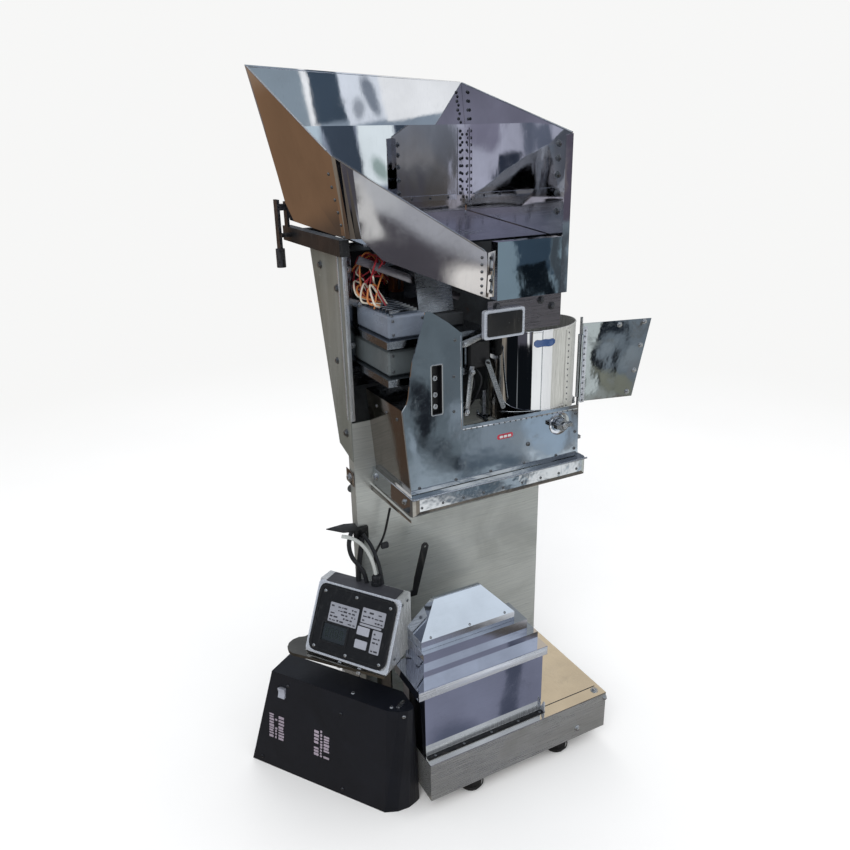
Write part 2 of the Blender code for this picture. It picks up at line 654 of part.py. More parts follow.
def door_drive():
    """The solenoid with its pin, and the arm that hangs from the pin."""
    x, y, z = ARM_JOINT
    solenoid = box("door_solenoid", (-0.0590, -0.1330, 0.8000), (-0.0180, -0.1000, 0.8480),
                   "black_plastic", bevel=0.003)
    join(solenoid, cyl("arm_pin_cut", 0.0021, 0.0140, (x, -0.1370, z), 'Y', segments=12))
    frame = Matrix.Translation(ARM_JOINT) @ Matrix.Rotation(math.radians(-21), 4, 'Y') @ XZ
    arm = plate("actuator_arm", rounded(-0.0045, -0.0930, 0.0045, 0.0060, 0.004, 3), 0.0020,
                frame, -0.001, "steel", holes=[circle(0, 0, 0.0025, 12)])
    pivot(arm, ARM_JOINT)


def side_door():
    """The side door, open to the right, and its hinge pin."""
    x, y = SIDE_DOOR_X, SIDE_DOOR_Y
    outline = [(0.0035, 0.6900), (0.1330, 0.6790), (0.1690, 0.8300), (0.0035, 0.8400)]
    door = plate("side_door", outline, 0.0020, Matrix.Translation((x, y, 0)) @ XZ, -0.0010,
                 "mirror")
    join(door, plate("side_barrel_cut", circle(x, y, 0.0050, 14), 0.1200, 'XY', 0.7000,
                     holes=[circle(x, y, 0.0028, 14)]))
    pivot(door, (x, y, 0.7600))
    pin = cyl("side_door_pin", 0.0025, 0.2300, (x, y, 0.7370), 'Z', "steel", 14)
    join(pin, box("pin_foot_cut", (0.1633, y - 0.010, 0.6180), (x + 0.004, y + 0.010, 0.6240)))


# ================================================================ bag plinth on the base
def plinth():
    """The box, the stepped collar on it and the tapered cap on top."""
    x0, x1, y0, y1 = PLINTH_L, PLINTH_R, PLINTH_FRONT, PLINTH_REAR
    box("plinth_box", (x0, y0, BASE_TOP + GAP), (x1, y1, PLINTH_TOP), "mirror",
        open_faces=((0, 0, -1),), wall=SHEET)

    z = PLINTH_TOP + GAP
    step_top = z + 0.0725
    collar = box("plinth_collar", (x0 - 0.014, y0 - 0.006, z),
                 (x1 + 0.006, y1 + 0.006, z + 0.0187), "mirror")
    join(collar,
         box("collar_step_a_cut", (x0 + 0.004, y0 + 0.010, z + 0.0177),
             (x1 - 0.006, y1 - 0.006, z + 0.045)),
         box("collar_step_b_cut", (x0 + 0.010, y0 + 0.020, z + 0.044),
             (x1 - 0.024, y1 - 0.004, step_top)))
    cut(collar, box("collar_hollow_cut", (x0 + 0.022, y0 + 0.032, z - 0.01),
                    (x1 - 0.036, y1 - 0.012, z + 0.0700)))

    foot = (x0 + 0.011, y0 + 0.0295, x1 - 0.047, y1 - 0.002)
    crown = (x0 + 0.061, y0 + 0.0735, x1 - 0.0945, y1 - 0.006)
    cap_z = step_top + GAP
    verts = []
    for (left, front, right, rear), height in ((foot, cap_z), (foot, cap_z + 0.019),
                                               (crown, CAP_TOP)):
        verts += [(left, front, height), (right, front, height),
                  (right, rear, height), (left, rear, height)]
    faces = []
    for a in (0, 4):
        for i in range(4):
            j = (i + 1) % 4
            faces.append((a + i, a + j, a + 4 + j, a + 4 + i))
    faces.append((8, 9, 10, 11))
    sheet("plinth_cap", verts, faces, SHEET, "mirror")


# ================================================================ supply cabinet
def beside_base(depth):
    """How far along its front the cabinet may reach, at a depth, before it meets the base."""
    return (-HALF_W - BASE_CLEARANCE - CABINET_X - INWARD.x * depth) / ALONG.x


def supply_cabinet():
    """The shell, its back, the transformer inside and the rocker switch in its front."""
    frame = turned_frame(CABINET_X, CABINET_Y)
    back_corner = beside_base(CABINET_D)
    # plan outlines at the floor and at the top: along the front, depth
    floor = [(0, 0), (0.306, 0), (0.327, 0.013), (0.341, 0.030), (0.3465, 0.046),
             (beside_base(0.057), 0.057), (back_corner, CABINET_D), (0, CABINET_D)]
    top = [(0.045, CABINET_SETBACK), (0.300, CABINET_SETBACK), (0.322, 0.039), (0.335, 0.049),
           (0.3405, 0.0575), (beside_base(0.064), 0.064), (back_corner, CABINET_D),
           (0.045, CABINET_D)]
    count = len(floor)
    verts = [(x, y, 0.0) for x, y in floor] + [(x, y, CABINET_H) for x, y in top]
    faces = [tuple(range(count))[::-1], tuple(range(count, 2 * count))]
    for i in range(count):
        j = (i + 1) % count
        faces.append((i, j, count + j, count + i))
    shell = mesh_object("cabinet_shell", surface(verts, faces), "black_plastic", frame)
    smooth(shell, 35)

    x0, x1, z0, z1 = 0.0520, 0.2900, 0.006, CABINET_H - 0.008       # the hollow
    cut(shell, box("cabinet_hollow_cut", (x0, 0.0400, z0), (x1, 0.12, z1), frame=frame))
    box("cabinet_back", (x0 + GAP, 0.0860, z0 + GAP), (x1 - GAP, 0.0890, z1 - GAP),
        "black_steel", frame=frame)
    box("transformer", (0.110, 0.044, 0.0065), (0.210, 0.0850, 0.1000), "casting",
        bevel=0.004, frame=frame)

    # the switch's frame leans back with the front
    lean = math.atan2(CABINET_SETBACK, CABINET_H)
    switch = frame @ Matrix.Translation((0.070, 0.0, 0.0)) @ Matrix.Rotation(-lean, 4, 'X')
    cut(shell, box("rocker_socket_cut", (-0.0090, -0.01, ROCKER_Z - 0.0125),
                   (0.0090, 0.0060, ROCKER_Z + 0.0125), frame=switch))
    joint_depth = 0.0020
    # profile: out of the front, up
    profile = [(-0.0025, -0.0090), (0.0055, -0.0105), (0.0040, 0.0), (0.0075, 0.0105),
               (-0.0025, 0.0090)]
    upright = Matrix(((0, 0, 1, 0), (-1, 0, 0, joint_depth), (0, 1, 0, 0), (0, 0, 0, 1)))
    rocker = plate("power_rocker", profile, 0.0150,
                   switch @ Matrix.Translation((0.0, 0.0, ROCKER_Z)) @ upright, -0.0075, "key")
    pivot(rocker, switch @ Vector((0, joint_depth, ROCKER_Z)))


# ================================================================ controller on its stand
def controller_case(frame):
    """The case, open at its bottom."""
    run = (CONTROL_Z1 - CONTROL_Z0) * math.tan(CONTROL_LEAN)
    profile = [(0.0, CONTROL_Z0), (run, CONTROL_Z1), (CONTROL_D, CONTROL_Z1 - 0.002),
               (CONTROL_D, CONTROL_Z0)]
    verts = [(x, y, z) for x in (-0.005, CONTROL_W + 0.005) for y, z in profile]
    faces = [(0, 1, 2, 3), (7, 6, 5, 4)] + [(i, i + 1, i + 5, i + 4) for i in range(3)]
    case = mesh_object("controller_case", surface(verts, faces), "brushed", frame)
    solidify(case, "sheet", SHEET)


def controller_panel(frame):
    """The sloping panel with its display window and keys."""
    # local x along the panel, y up the slope, z out of it
    slope = (frame @ Matrix.Translation((0.0, 0.0, CONTROL_Z0))
             @ Matrix.Rotation(math.pi / 2 - CONTROL_LEAN, 4, 'X'))
    height = (CONTROL_Z1 - CONTROL_Z0) / math.cos(CONTROL_LEAN)
    insert_t, key_z = 0.0036, 0.0018
    window = (0.0505, 0.0440, 0.0255, 0.0160)       # middle x, y and half sizes
    keys = {"key_start": (0.1090, 0.0400, 0.0130, 0.0080),
            "key_set": (0.1090, 0.0640, 0.0130, 0.0080)}

    def opening(x, y, half_x, half_y, inset=0.0):
        half_x, half_y = half_x - inset, half_y - inset
        return rounded(x - half_x, y - half_y, x + half_x, y + half_y, 0.001, 1)

    plate("controller_panel", rounded(0.0000, 0.0050, CONTROL_W, height - 0.0060, 0.016, 4),
          0.0040, slope, GAP, "black_plastic",
          holes=[opening(*place) for place in (window, *keys.values())])
    plate("display_window", opening(*window, INSERT_GAP), insert_t, slope, GAP, "display")
    for name, place in keys.items():
        key = plate(name, opening(*place, INSERT_GAP), insert_t, slope, key_z, "key")
        pivot(key, slope @ Vector((place[0], place[1], key_z)))


def controller_stand():
    """The flat arm with a rounded end, and the leg under it."""
    right = -0.2023
    rounded_end = [(-0.3420 + 0.028 * math.cos(math.radians(a)),
                    0.0120 + 0.028 * math.sin(math.radians(a))) for a in range(60, 240, 25)]
    outline = [(right, -0.0900), (right, -0.0160), (-0.2260, -0.0160), (-0.2260, 0.0250),
               (-0.2600, 0.0560), *rounded_end, (-0.2440, -0.1480), (-0.2160, -0.1080)]
    stand = plate("controller_stand", outline, 0.006, 'XY', 0.2570, "mirror")
    join(stand, box("stand_leg_cut", (right - 0.003, -0.0880, 0.0400),
                    (right, -0.0200, 0.2610)))


def hanger_bar():
    outline = [     # x, z
        (-0.1500, 0.3440), (-0.1290, 0.3440), (-0.1190, 0.3800), (-0.1015, 0.4440),
        (-0.1045, 0.4500), (-0.1100, 0.4520), (-0.1150, 0.4480), (-0.1330, 0.3810),
        (-0.1370, 0.3560), (-0.1500, 0.3560)]
    plate("hanger_bar", outline, 0.0030, 'XZ', -0.0560, "black_steel",
          holes=[circle(-0.1085, 0.4430, 0.0026, 12)])


def cables():
    # each path: start, two control points, end
    control = ((-0.2070, -0.0453, 0.3862), (-0.2045, -0.0400, 0.4300),
               (-0.2150, -0.0280, 0.4780), (-0.2580, -0.0140, 0.4860))
    tube("controller_cable", [cubic(*control, i / 14) for i in range(15)], 0.0036,
         "white_cable")
    drive = ((-0.1200, 0.0440, 0.9300), (-0.1450, 0.0440, 0.9900),
             (-0.1800, 0.0300, 0.9800), (-0.1800, -0.0200, 0.9300))
    tube("drive_wires", [cubic(*drive, i / 12) for i in range(13)] + [(-0.1800, -0.0300, 0.9060)],
         0.0028, "red_wire")


# ================================================================ the whole machine
for build in (base_skirt, base_top_plate, feet, column_plate,
              housing_sides, rear_cover, cross_beam, shelf_frame, shelf_boxes,
              drive_base, magnet, leaf_springs, feed_pan,
              hopper_rear_panel, hopper_left_panel, hopper_right_panel, hopper_corner_angle,
              hopper_frame, clamp_lever,
              front_plate, left_lower_wall, bottom_tray, chute_parts, latch_knob,
              weigh_bucket, load_cell):
    build()
bucket_door("left", -1)
bucket_door("right", 1)
for build in (door_drive, side_door, plinth, supply_cabinet):
    build()
control_frame = turned_frame(CONTROL_X, CONTROL_Y)
controller_case(control_frame)
controller_panel(control_frame)
for build in (controller_stand, hanger_bar, cables):
    build()

for piece in bpy.data.objects:
    piece.location.x += ORIGIN_SHIFT
bpy.context.view_layer.update()
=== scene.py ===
"""A weighing filler: a sheet steel hopper and housing on a column, with a control case beside it.

The CAD pieces get procedural materials and eased edges, and small parts are added to them.
Metres, +Z up. The front faces -Y, the left side faces -X, and the feet stand on z = 0.
"""
import math
import random
import bpy
import bmesh
from mathutils import Matrix, Vector
from mathutils.bvhtree import BVHTree

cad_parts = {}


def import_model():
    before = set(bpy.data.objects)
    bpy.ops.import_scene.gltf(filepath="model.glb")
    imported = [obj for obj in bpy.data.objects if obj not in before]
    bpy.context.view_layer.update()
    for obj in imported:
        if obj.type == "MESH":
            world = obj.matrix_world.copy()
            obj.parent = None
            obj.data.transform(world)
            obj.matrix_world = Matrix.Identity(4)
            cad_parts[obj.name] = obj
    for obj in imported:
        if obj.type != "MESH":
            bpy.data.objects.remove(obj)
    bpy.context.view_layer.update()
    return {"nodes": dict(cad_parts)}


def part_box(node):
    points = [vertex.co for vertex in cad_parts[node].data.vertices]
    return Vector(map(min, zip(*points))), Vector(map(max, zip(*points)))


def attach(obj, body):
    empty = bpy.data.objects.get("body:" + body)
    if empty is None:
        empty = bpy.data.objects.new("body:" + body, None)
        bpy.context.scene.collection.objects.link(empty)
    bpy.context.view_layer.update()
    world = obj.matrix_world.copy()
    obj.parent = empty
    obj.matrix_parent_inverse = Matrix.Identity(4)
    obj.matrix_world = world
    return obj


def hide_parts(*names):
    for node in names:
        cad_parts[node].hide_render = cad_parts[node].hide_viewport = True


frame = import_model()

NODES = frame["nodes"]
MATERIALS = {}
random.seed(11)     # turns every screw head a little

RIGHT, LEFT = (1, 0, 0), (-1, 0, 0)
BACK, FRONT = (0, 1, 0), (0, -1, 0)
UP = (0, 0, 1)

RIVET_PITCH = 0.0112
PLATE_Y = -0.151    # the front plate's face
EASE = 0.0003       # usual edge rounding of a cut plate

# ------------------------------------------------------------------ shader helpers


def colour(code, gain=1.0):
    """Linear RGBA of a six-digit sRGB hex code."""
    channels = []
    for i in (0, 2, 4):
        value = int(code[i:i + 2], 16) / 255
        linear = ((value + 0.055) / 1.055) ** 2.4 if value > 0.04045 else value / 12.92
        channels.append(linear * gain)
    return (*channels, 1.0)


def along(axis, across, length):
    """Texture scale that draws a pattern out along one axis."""
    scale = [across] * 3
    scale[axis] = length
    return scale


class Net:
    """Short calls that add shader nodes and return their output sockets."""

    def __init__(self, tree):
        self.tree = tree
        self.tree.nodes.clear()

    def new(self, kind):
        return self.tree.nodes.new("ShaderNode" + kind)

    def put(self, socket, value):
        if isinstance(value, bpy.types.NodeSocket):
            self.tree.links.new(value, socket)
        else:
            socket.default_value = value

    def shade(self, values):
        for name, value in values.items():
            self.put(self.shader.inputs[name], value)

    def coord(self, kind="Object"):
        return self.new("TexCoord").outputs[kind]

    def split(self, vector):
        node = self.new("SeparateXYZ")
        self.put(node.inputs[0], vector)
        return node.outputs

    def mapped(self, vector, loc=(0, 0, 0), rot=(0, 0, 0), scale=(1, 1, 1), kind="POINT"):
        node = self.new("Mapping")
        node.vector_type = kind
        self.put(node.inputs["Vector"], vector)
        node.inputs["Location"].default_value = loc
        node.inputs["Rotation"].default_value = rot
        node.inputs["Scale"].default_value = scale
        return node.outputs["Vector"]

    def noise(self, vector, scale, detail=3.0, rough=0.5, warp=0.0, output="Fac"):
        node = self.new("TexNoise")
        self.put(node.inputs["Vector"], vector)
        node.inputs["Scale"].default_value = scale
        node.inputs["Detail"].default_value = detail
        node.inputs["Roughness"].default_value = rough
        node.inputs["Distortion"].default_value = warp
        return node.outputs[output]

    def cells(self, vector, scale):
        node = self.new("TexVoronoi")
        self.put(node.inputs["Vector"], vector)
        node.inputs["Scale"].default_value = scale
        return node.outputs["Distance"]

    def ramp(self, factor, stops):
        """stops: (position, hex code)."""
        node = self.new("ValToRGB")
        self.put(node.inputs["Fac"], factor)
        node.color_ramp.interpolation = "EASE"
        elements = node.color_ramp.elements
        while len(elements) < len(stops):
            elements.new(0.5)
        for element, (position, code) in zip(elements, stops):
            element.position = position
            element.color = colour(code)
        return node.outputs["Color"]

    def span(self, value, over, to=(0.0, 1.0), smooth=False):
        """Maps the range `over` on to the range `to`, held at both ends."""
        node = self.new("MapRange")
        if smooth:
            node.interpolation_type = "SMOOTHSTEP"
        self.put(node.inputs["Value"], value)
        for name, number in zip(("From Min", "From Max", "To Min", "To Max"), (*over, *to)):
            node.inputs[name].default_value = number
        return node.outputs["Result"]

    def math(self, operation, first, second=None):
        node = self.new("Math")
        node.operation = operation
        self.put(node.inputs[0], first)
        if second is not None:
            self.put(node.inputs[1], second)
        return node.outputs[0]

    def vmath(self, operation, first, second=None, output="Vector"):
        node = self.new("VectorMath")
        node.operation = operation
        self.put(node.inputs[0], first)
        if second is not None:
            self.put(node.inputs[1], second)
        return node.outputs[output]

    def mix(self, factor, first, second):
        node = self.new("Mix")
        node.data_type = "RGBA"
        self.put(node.inputs[0], factor)
        self.put(node.inputs[6], first)
        self.put(node.inputs[7], second)
        return node.outputs[2]

    def vmix(self, factor, first, second):
        node = self.new("Mix")
        node.data_type = "VECTOR"
        self.put(node.inputs[0], factor)
        self.put(node.inputs[4], first)
        self.put(node.inputs[5], second)
        return node.outputs[1]

    def blend(self, factor, first, second):
        """Mixes two shaders."""
        node = self.new("MixShader")
        for i, value in enumerate((factor, first, second)):
            self.put(node.inputs[i], value)
        return node.outputs[0]

    def bump(self, height, distance, strength=1.0, normal=None):
        node = self.new("Bump")
        node.inputs["Strength"].default_value = strength
        node.inputs["Distance"].default_value = distance
        self.put(node.inputs["Height"], height)
        if normal is not None:
            self.put(node.inputs["Normal"], normal)
        return node.outputs["Normal"]

    def mask(self, field, over, amount):
        return self.math("MULTIPLY", self.span(field, over), amount)

    def tinted(self, base, field, over, amount, code):
        """Lays a colour over the base where the field is high."""
        return self.mix(self.mask(field, over, amount), base, colour(code))

    def raised(self, base, field, over, amount):
        """Adds up to `amount` to the base where the field is high."""
        return self.math("ADD", base, self.mask(field, over, amount))

    def mottled(self, cloud, code, dim, over=(0.35, 0.7)):
        """A colour that dims in clouds."""
        return self.mix(self.span(cloud, over), colour(code), colour(code, dim))


def surface(name):
    """A new material; its Net also holds the principled shader and the output."""
    material = bpy.data.materials.new(name)
    material.use_nodes = True
    MATERIALS[name] = material
    net = Net(material.node_tree)
    net.output = net.new("OutputMaterial")
    net.shader = net.new("BsdfPrincipled")
    net.put(net.output.inputs[0], net.shader.outputs[0])
    return net


# ------------------------------------------------------------------ materials


def folded_normal(net, place, fold, below, above):
    """Flat normals on the two halves of a folded sheet; other faces keep their own."""
    geometry = net.new("NewGeometry")
    upper = net.math("GREATER_THAN", net.split(place)[2], fold)
    plane = net.vmix(upper, below, above)
    alike = net.vmath("DOT_PRODUCT", geometry.outputs["True Normal"], below, output="Value")
    front = net.math("GREATER_THAN", alike, 0.9)
    return net.vmath("NORMALIZE", net.vmix(front, geometry.outputs["Normal"], plane))


def upright_normal(net):
    """Level normals all the way up a skin; faces that lie keep their own."""
    geometry = net.new("NewGeometry")
    normal = geometry.outputs["Normal"]
    tilt = net.split(geometry.outputs["True Normal"])[2]
    lying = net.math("GREATER_THAN", net.math("ABSOLUTE", tilt), 0.35)
    level = net.vmath("NORMALIZE", net.vmath("MULTIPLY", normal, (1.0, 1.0, 0.0)))
    return net.vmath("NORMALIZE", net.vmix(lying, level, normal))


def mirror_sheet(name, tint, rough, wave, wave_scale, ripple, ripple_scale, smear, dirt,
                 axis=2, facets=None, dull=None, dark_back=False):
    """Near mirror, out of flat, with wiping marks, drawn lines and handling dirt.

    facets: height of a fold, flat normal below it, flat normal above it.
    dull: x where the sheet turns matt and is painted pale, x where it is painted grey; a painted
    reflection.
    dark_back: the face towards +Y painted near black, as painted shade of the housing's inside.
    """
    net = surface(name)
    place = net.coord()
    lines = net.noise(net.mapped(place, scale=along(axis, 46.0, 2.2)),
                      scale=9.0, detail=5.0, rough=0.62)
    wipe = net.noise(net.mapped(place, rot=(0.3, 0.5, 0.9), scale=(5, 14, 5)),
                     scale=2.2, detail=4.0, rough=0.6, warp=0.7)
    specks = net.noise(place, scale=150.0, detail=2.0, rough=0.6)
    cloud = net.noise(place, scale=6.0, detail=4.0, rough=0.55)
    base = net.mottled(cloud, tint, dim=0.80, over=(0.36, 0.68))
    base = net.tinted(base, lines, over=(0.55, 0.78), amount=0.22, code="b9bcc0")
    smudge = net.noise(place, scale=17.0, detail=6.0, rough=0.66, warp=0.4)
    grime = net.mask(smudge, over=(0.56, 0.80), amount=dirt)
    base = net.mix(grime, base, colour("6f675c"))
    zone = None
    # painted reflection: past the first x the sheet is made matt and painted pale, past the second
    # grey, standing in for reflections
    if dull:
        pale_from_x, grey_x = dull
        across = net.split(place)[0]
        zone = net.mask(across, over=(pale_from_x, pale_from_x + 0.0012), amount=0.86)
        past = net.span(across, over=(grey_x, grey_x + 0.0010))
        fine = net.noise(net.mapped(place, scale=along(2, 60, 2)), scale=16.0, rough=0.6)
        grey = net.mix(net.span(fine, over=(0.38, 0.64)), colour("b4b4ae"), colour("dededa"))
        pale = net.mix(net.span(fine, over=(0.38, 0.64)), colour("f2f4f6"), colour("fcfdfe"))
        base = net.mix(zone, base, net.mix(past, pale, grey))
    # painted shade: the face towards +Y is painted near black, standing in for the shade inside
    # the housing
    if dark_back:
        facing_y = net.split(net.new("NewGeometry").outputs["True Normal"])[1]
        zone = net.math("GREATER_THAN", facing_y, 0.5)
        dark = net.mix(net.span(cloud, over=(0.4, 0.6)), colour("15161a"), colour("26272b"))
        base = net.mix(zone, base, dark)
    sheen = net.span(wipe, over=(0.30, 0.74), to=rough)
    sheen = net.raised(sheen, lines, over=(0.42, 0.80), amount=0.022 * smear)
    sheen = net.raised(sheen, specks, over=(0.63, 0.74), amount=0.06 * smear)
    sheen = net.math("ADD", sheen, net.math("MULTIPLY", grime, 0.6))
    if zone is not None:
        sheen = net.math("ADD", sheen, net.math("MULTIPLY", zone, 0.36))
    net.shade({"Base Color": base, "Metallic": 1.0, "Roughness": sheen})
    normal = None
    if facets:
        normal = folded_normal(net, place, *facets)
    if dull:
        net.shade({"Metallic": net.math("SUBTRACT", 1.0, net.math("MULTIPLY", zone, 0.6))})
        normal = upright_normal(net)
    # bump height that gives the wanted slope at each scale
    normal = net.bump(net.noise(place, wave_scale, detail=1.4, rough=0.4),
                      distance=wave / (1.5 * wave_scale), normal=normal)
    normal = net.bump(net.noise(place, ripple_scale, detail=2.0),
                      distance=ripple / (1.5 * ripple_scale), normal=normal)
    net.shade({"Normal": net.bump(lines, distance=0.0000022, normal=normal)})


def brushed_sheet(name, dark, light, rough, axis, wave, stain, aniso, metal):
    """Satin sheet with drawn lines, dark matt stains and a few deeper scratches."""
    net = surface(name)
    place = net.coord()
    lines = net.noise(net.mapped(place, scale=along(axis, 60.0, 1.3)),
                      scale=12.0, detail=6.0, rough=0.7)
    broad = net.noise(net.mapped(place, scale=along(axis, 7.2, 1.0)), scale=3.0)
    stains = net.noise(place, scale=7.0, detail=6.0, rough=0.62, warp=0.8)
    base = net.mix(net.span(lines, over=(0.30, 0.70)), colour(dark), colour(light))
    base = net.tinted(base, stains, over=(0.50, 0.76), amount=stain, code="5f605a")
    base = net.tinted(base, broad, over=(0.45, 0.75), amount=0.35, code="b9bdbd")
    hairs = net.mapped(place, rot=(0.4, 0.9, 0.2), scale=(240, 5, 30))
    scratch = net.span(net.noise(hairs, scale=6.0, detail=2.0), over=(0.70, 0.76))
    base = net.mix(net.math("MULTIPLY", scratch, 0.5), base, colour("d6d9da"))
    sheen = net.span(lines, over=(0.3, 0.72), to=rough)
    sheen = net.raised(sheen, stains, over=(0.45, 0.8), amount=0.16)
    normal = net.bump(net.noise(place, scale=4.0, detail=1.5, rough=0.4), distance=wave / 6.0)
    normal = net.bump(lines, distance=0.00004, normal=normal)
    normal = net.bump(scratch, distance=0.00008, normal=normal)
    net.shade({"Base Color": base, "Metallic": metal, "Anisotropic": aniso,
               "Roughness": sheen, "Normal": normal})


def bright_plate(name, code, rough, axis, dirt):
    """Plated or machined steel: cloudy, with tool lines and dark handling marks."""
    net = surface(name)
    place = net.coord()
    tool = net.noise(net.mapped(place, scale=along(axis, 90.0, 4.0)),
                     scale=8.0, detail=4.0, rough=0.6)
    cloud = net.noise(place, scale=28.0, detail=5.0, rough=0.6, warp=0.6)
    marks = net.noise(place, scale=46.0, detail=5.0, rough=0.7)
    base = net.mottled(cloud, code, dim=0.62)
    base = net.tinted(base, net.cells(place, scale=170.0), over=(0.1, 0.6), amount=0.16,
                      code="d9dcdf")
    base = net.tinted(base, marks, over=(0.58, 0.78), amount=dirt, code="3e3a35")
    sheen = net.span(tool, over=(0.3, 0.7), to=rough)
    sheen = net.raised(sheen, cloud, over=(0.5, 0.8), amount=0.2)
    normal = net.bump(tool, distance=0.0003, strength=0.6)
    normal = net.bump(cloud, distance=0.0012, strength=0.4, normal=normal)
    net.shade({"Base Color": base, "Metallic": 1.0, "Roughness": sheen, "Normal": normal})


def moulded(name, code, rough, grain, depth, dust, dust_code="8d8c88", coat=0.0, spec=0.5,
            wave=0.0):
    """Moulded plastic or rubber: fine grain, uneven sheen, patches of dust and rubbing."""
    net = surface(name)
    place = net.coord()
    cloud = net.noise(place, scale=11.0, detail=5.0, rough=0.6, warp=0.5)
    rub = net.noise(net.mapped(place, rot=(0.2, 0.4, 0.7), scale=(9, 30, 9)),
                    scale=5.0, detail=5.0, rough=0.65)
    specks = net.noise(place, scale=420.0, detail=2.0, rough=0.7)
    base = net.mottled(cloud, code, dim=0.72)
    base = net.tinted(base, rub, over=(0.58, 0.80), amount=dust, code=dust_code)
    base = net.tinted(base, specks, over=(0.66, 0.74), amount=dust, code=dust_code)
    sheen = net.span(cloud, over=(0.3, 0.75), to=rough)
    sheen = net.raised(sheen, rub, over=(0.5, 0.8), amount=0.12)
    normal = net.bump(net.cells(place, grain), distance=depth, strength=0.7)
    normal = net.bump(net.noise(place, scale=60.0), distance=0.0006, strength=0.35,
                      normal=normal)
    if wave:
        normal = net.bump(net.noise(place, scale=5.0, detail=1.0, rough=0.4),
                          distance=wave * 10, normal=normal)
    net.shade({"Base Color": base, "Specular IOR Level": spec, "Coat Weight": coat,
               "Coat Roughness": 0.12, "Roughness": sheen, "Normal": normal})


def painted(name, code, rough, chip_code, chips):
    """Baked enamel on steel: orange peel, darker streaks and small chips down to metal."""
    net = surface(name)
    place = net.coord()
    peel = net.noise(place, scale=260.0, detail=2.0)
    cloud = net.noise(place, scale=14.0, detail=5.0, rough=0.62, warp=0.6)
    flaws = net.noise(place, scale=95.0, detail=5.0, rough=0.72)
    chip = net.mask(flaws, over=(0.66, 0.70), amount=chips)
    base = net.mix(chip, net.mottled(cloud, code, dim=0.66, over=(0.35, 0.72)),
                   colour(chip_code))
    streak = net.noise(net.mapped(place, scale=along(2, 30, 3)),
                       scale=5.0, detail=5.0, rough=0.6)
    base = net.tinted(base, streak, over=(0.56, 0.8), amount=0.3, code="6d6a64")
    sheen = net.span(cloud, over=(0.3, 0.75), to=rough)
    sheen = net.math("ADD", sheen, net.math("MULTIPLY", chip, 0.1))
    normal = net.bump(peel, distance=0.0004, strength=0.5)
    normal = net.bump(chip, distance=0.0005, strength=0.6, normal=normal)
    net.shade({"Base Color": base, "Metallic": net.math("MAXIMUM", chip, 0.0),
               "Roughness": sheen, "Normal": normal})


def wound_wire(name):
    """Lacquered copper turns, stacked along Z."""
    net = surface(name)
    place = net.coord()
    wave = net.new("TexWave")
    wave.bands_direction = "Z"
    wave.inputs["Scale"].default_value = 210.0
    wave.inputs["Distortion"].default_value = 1.6
    wave.inputs["Detail"].default_value = 2.0
    net.put(wave.inputs["Vector"], place)
    turns = wave.outputs["Fac"]
    cloud = net.noise(place, scale=60.0, detail=4.0, rough=0.6)
    base = net.mix(turns, colour("5a2a12"), colour("d08048"))
    base = net.tinted(base, cloud, over=(0.5, 0.75), amount=0.4, code="7a4a22")
    net.shade({"Base Color": base, "Metallic": 0.85, "Coat Weight": 0.5,
               "Roughness": net.span(cloud, over=(0.3, 0.7), to=(0.24, 0.44)),
               "Normal": net.bump(turns, distance=0.0012, strength=0.9)})


def cast_iron(name, code):
    """Sandy grey casting with spots of rust."""
    net = surface(name)
    place = net.coord()
    sand = net.noise(place, scale=420.0, detail=4.0, rough=0.65)
    cloud = net.noise(place, scale=22.0, detail=5.0, rough=0.6, warp=0.4)
    rust = net.noise(place, scale=38.0, detail=6.0, rough=0.7)
    base = net.mottled(cloud, code, dim=0.55)
    base = net.tinted(base, rust, over=(0.60, 0.74), amount=0.6, code="6a3f24")
    net.shade({"Base Color": base, "Metallic": 0.7,
               "Roughness": net.span(sand, over=(0.3, 0.7), to=(0.42, 0.66)),
               "Normal": net.bump(sand, distance=0.0008, strength=0.8)})


def pane(name):
    """Dark clear window with hair scratches."""
    net = surface(name)
    place = net.coord()
    cloud = net.noise(place, scale=30.0, detail=4.0, rough=0.6)
    hair = net.noise(net.mapped(place, rot=(0.3, 0.2, 0.8), scale=(300, 20, 60)),
                     scale=5.0, detail=2.0)
    base = net.mix(net.span(cloud, over=(0.35, 0.7)), colour("1f2428"), colour("282e33"))
    net.shade({"Base Color": base, "Coat Weight": 1.0, "Coat Roughness": 0.05,
               "Roughness": net.span(hair, over=(0.6, 0.75), to=(0.06, 0.3)),
               "Normal": net.bump(hair, distance=0.0001, strength=0.4)})


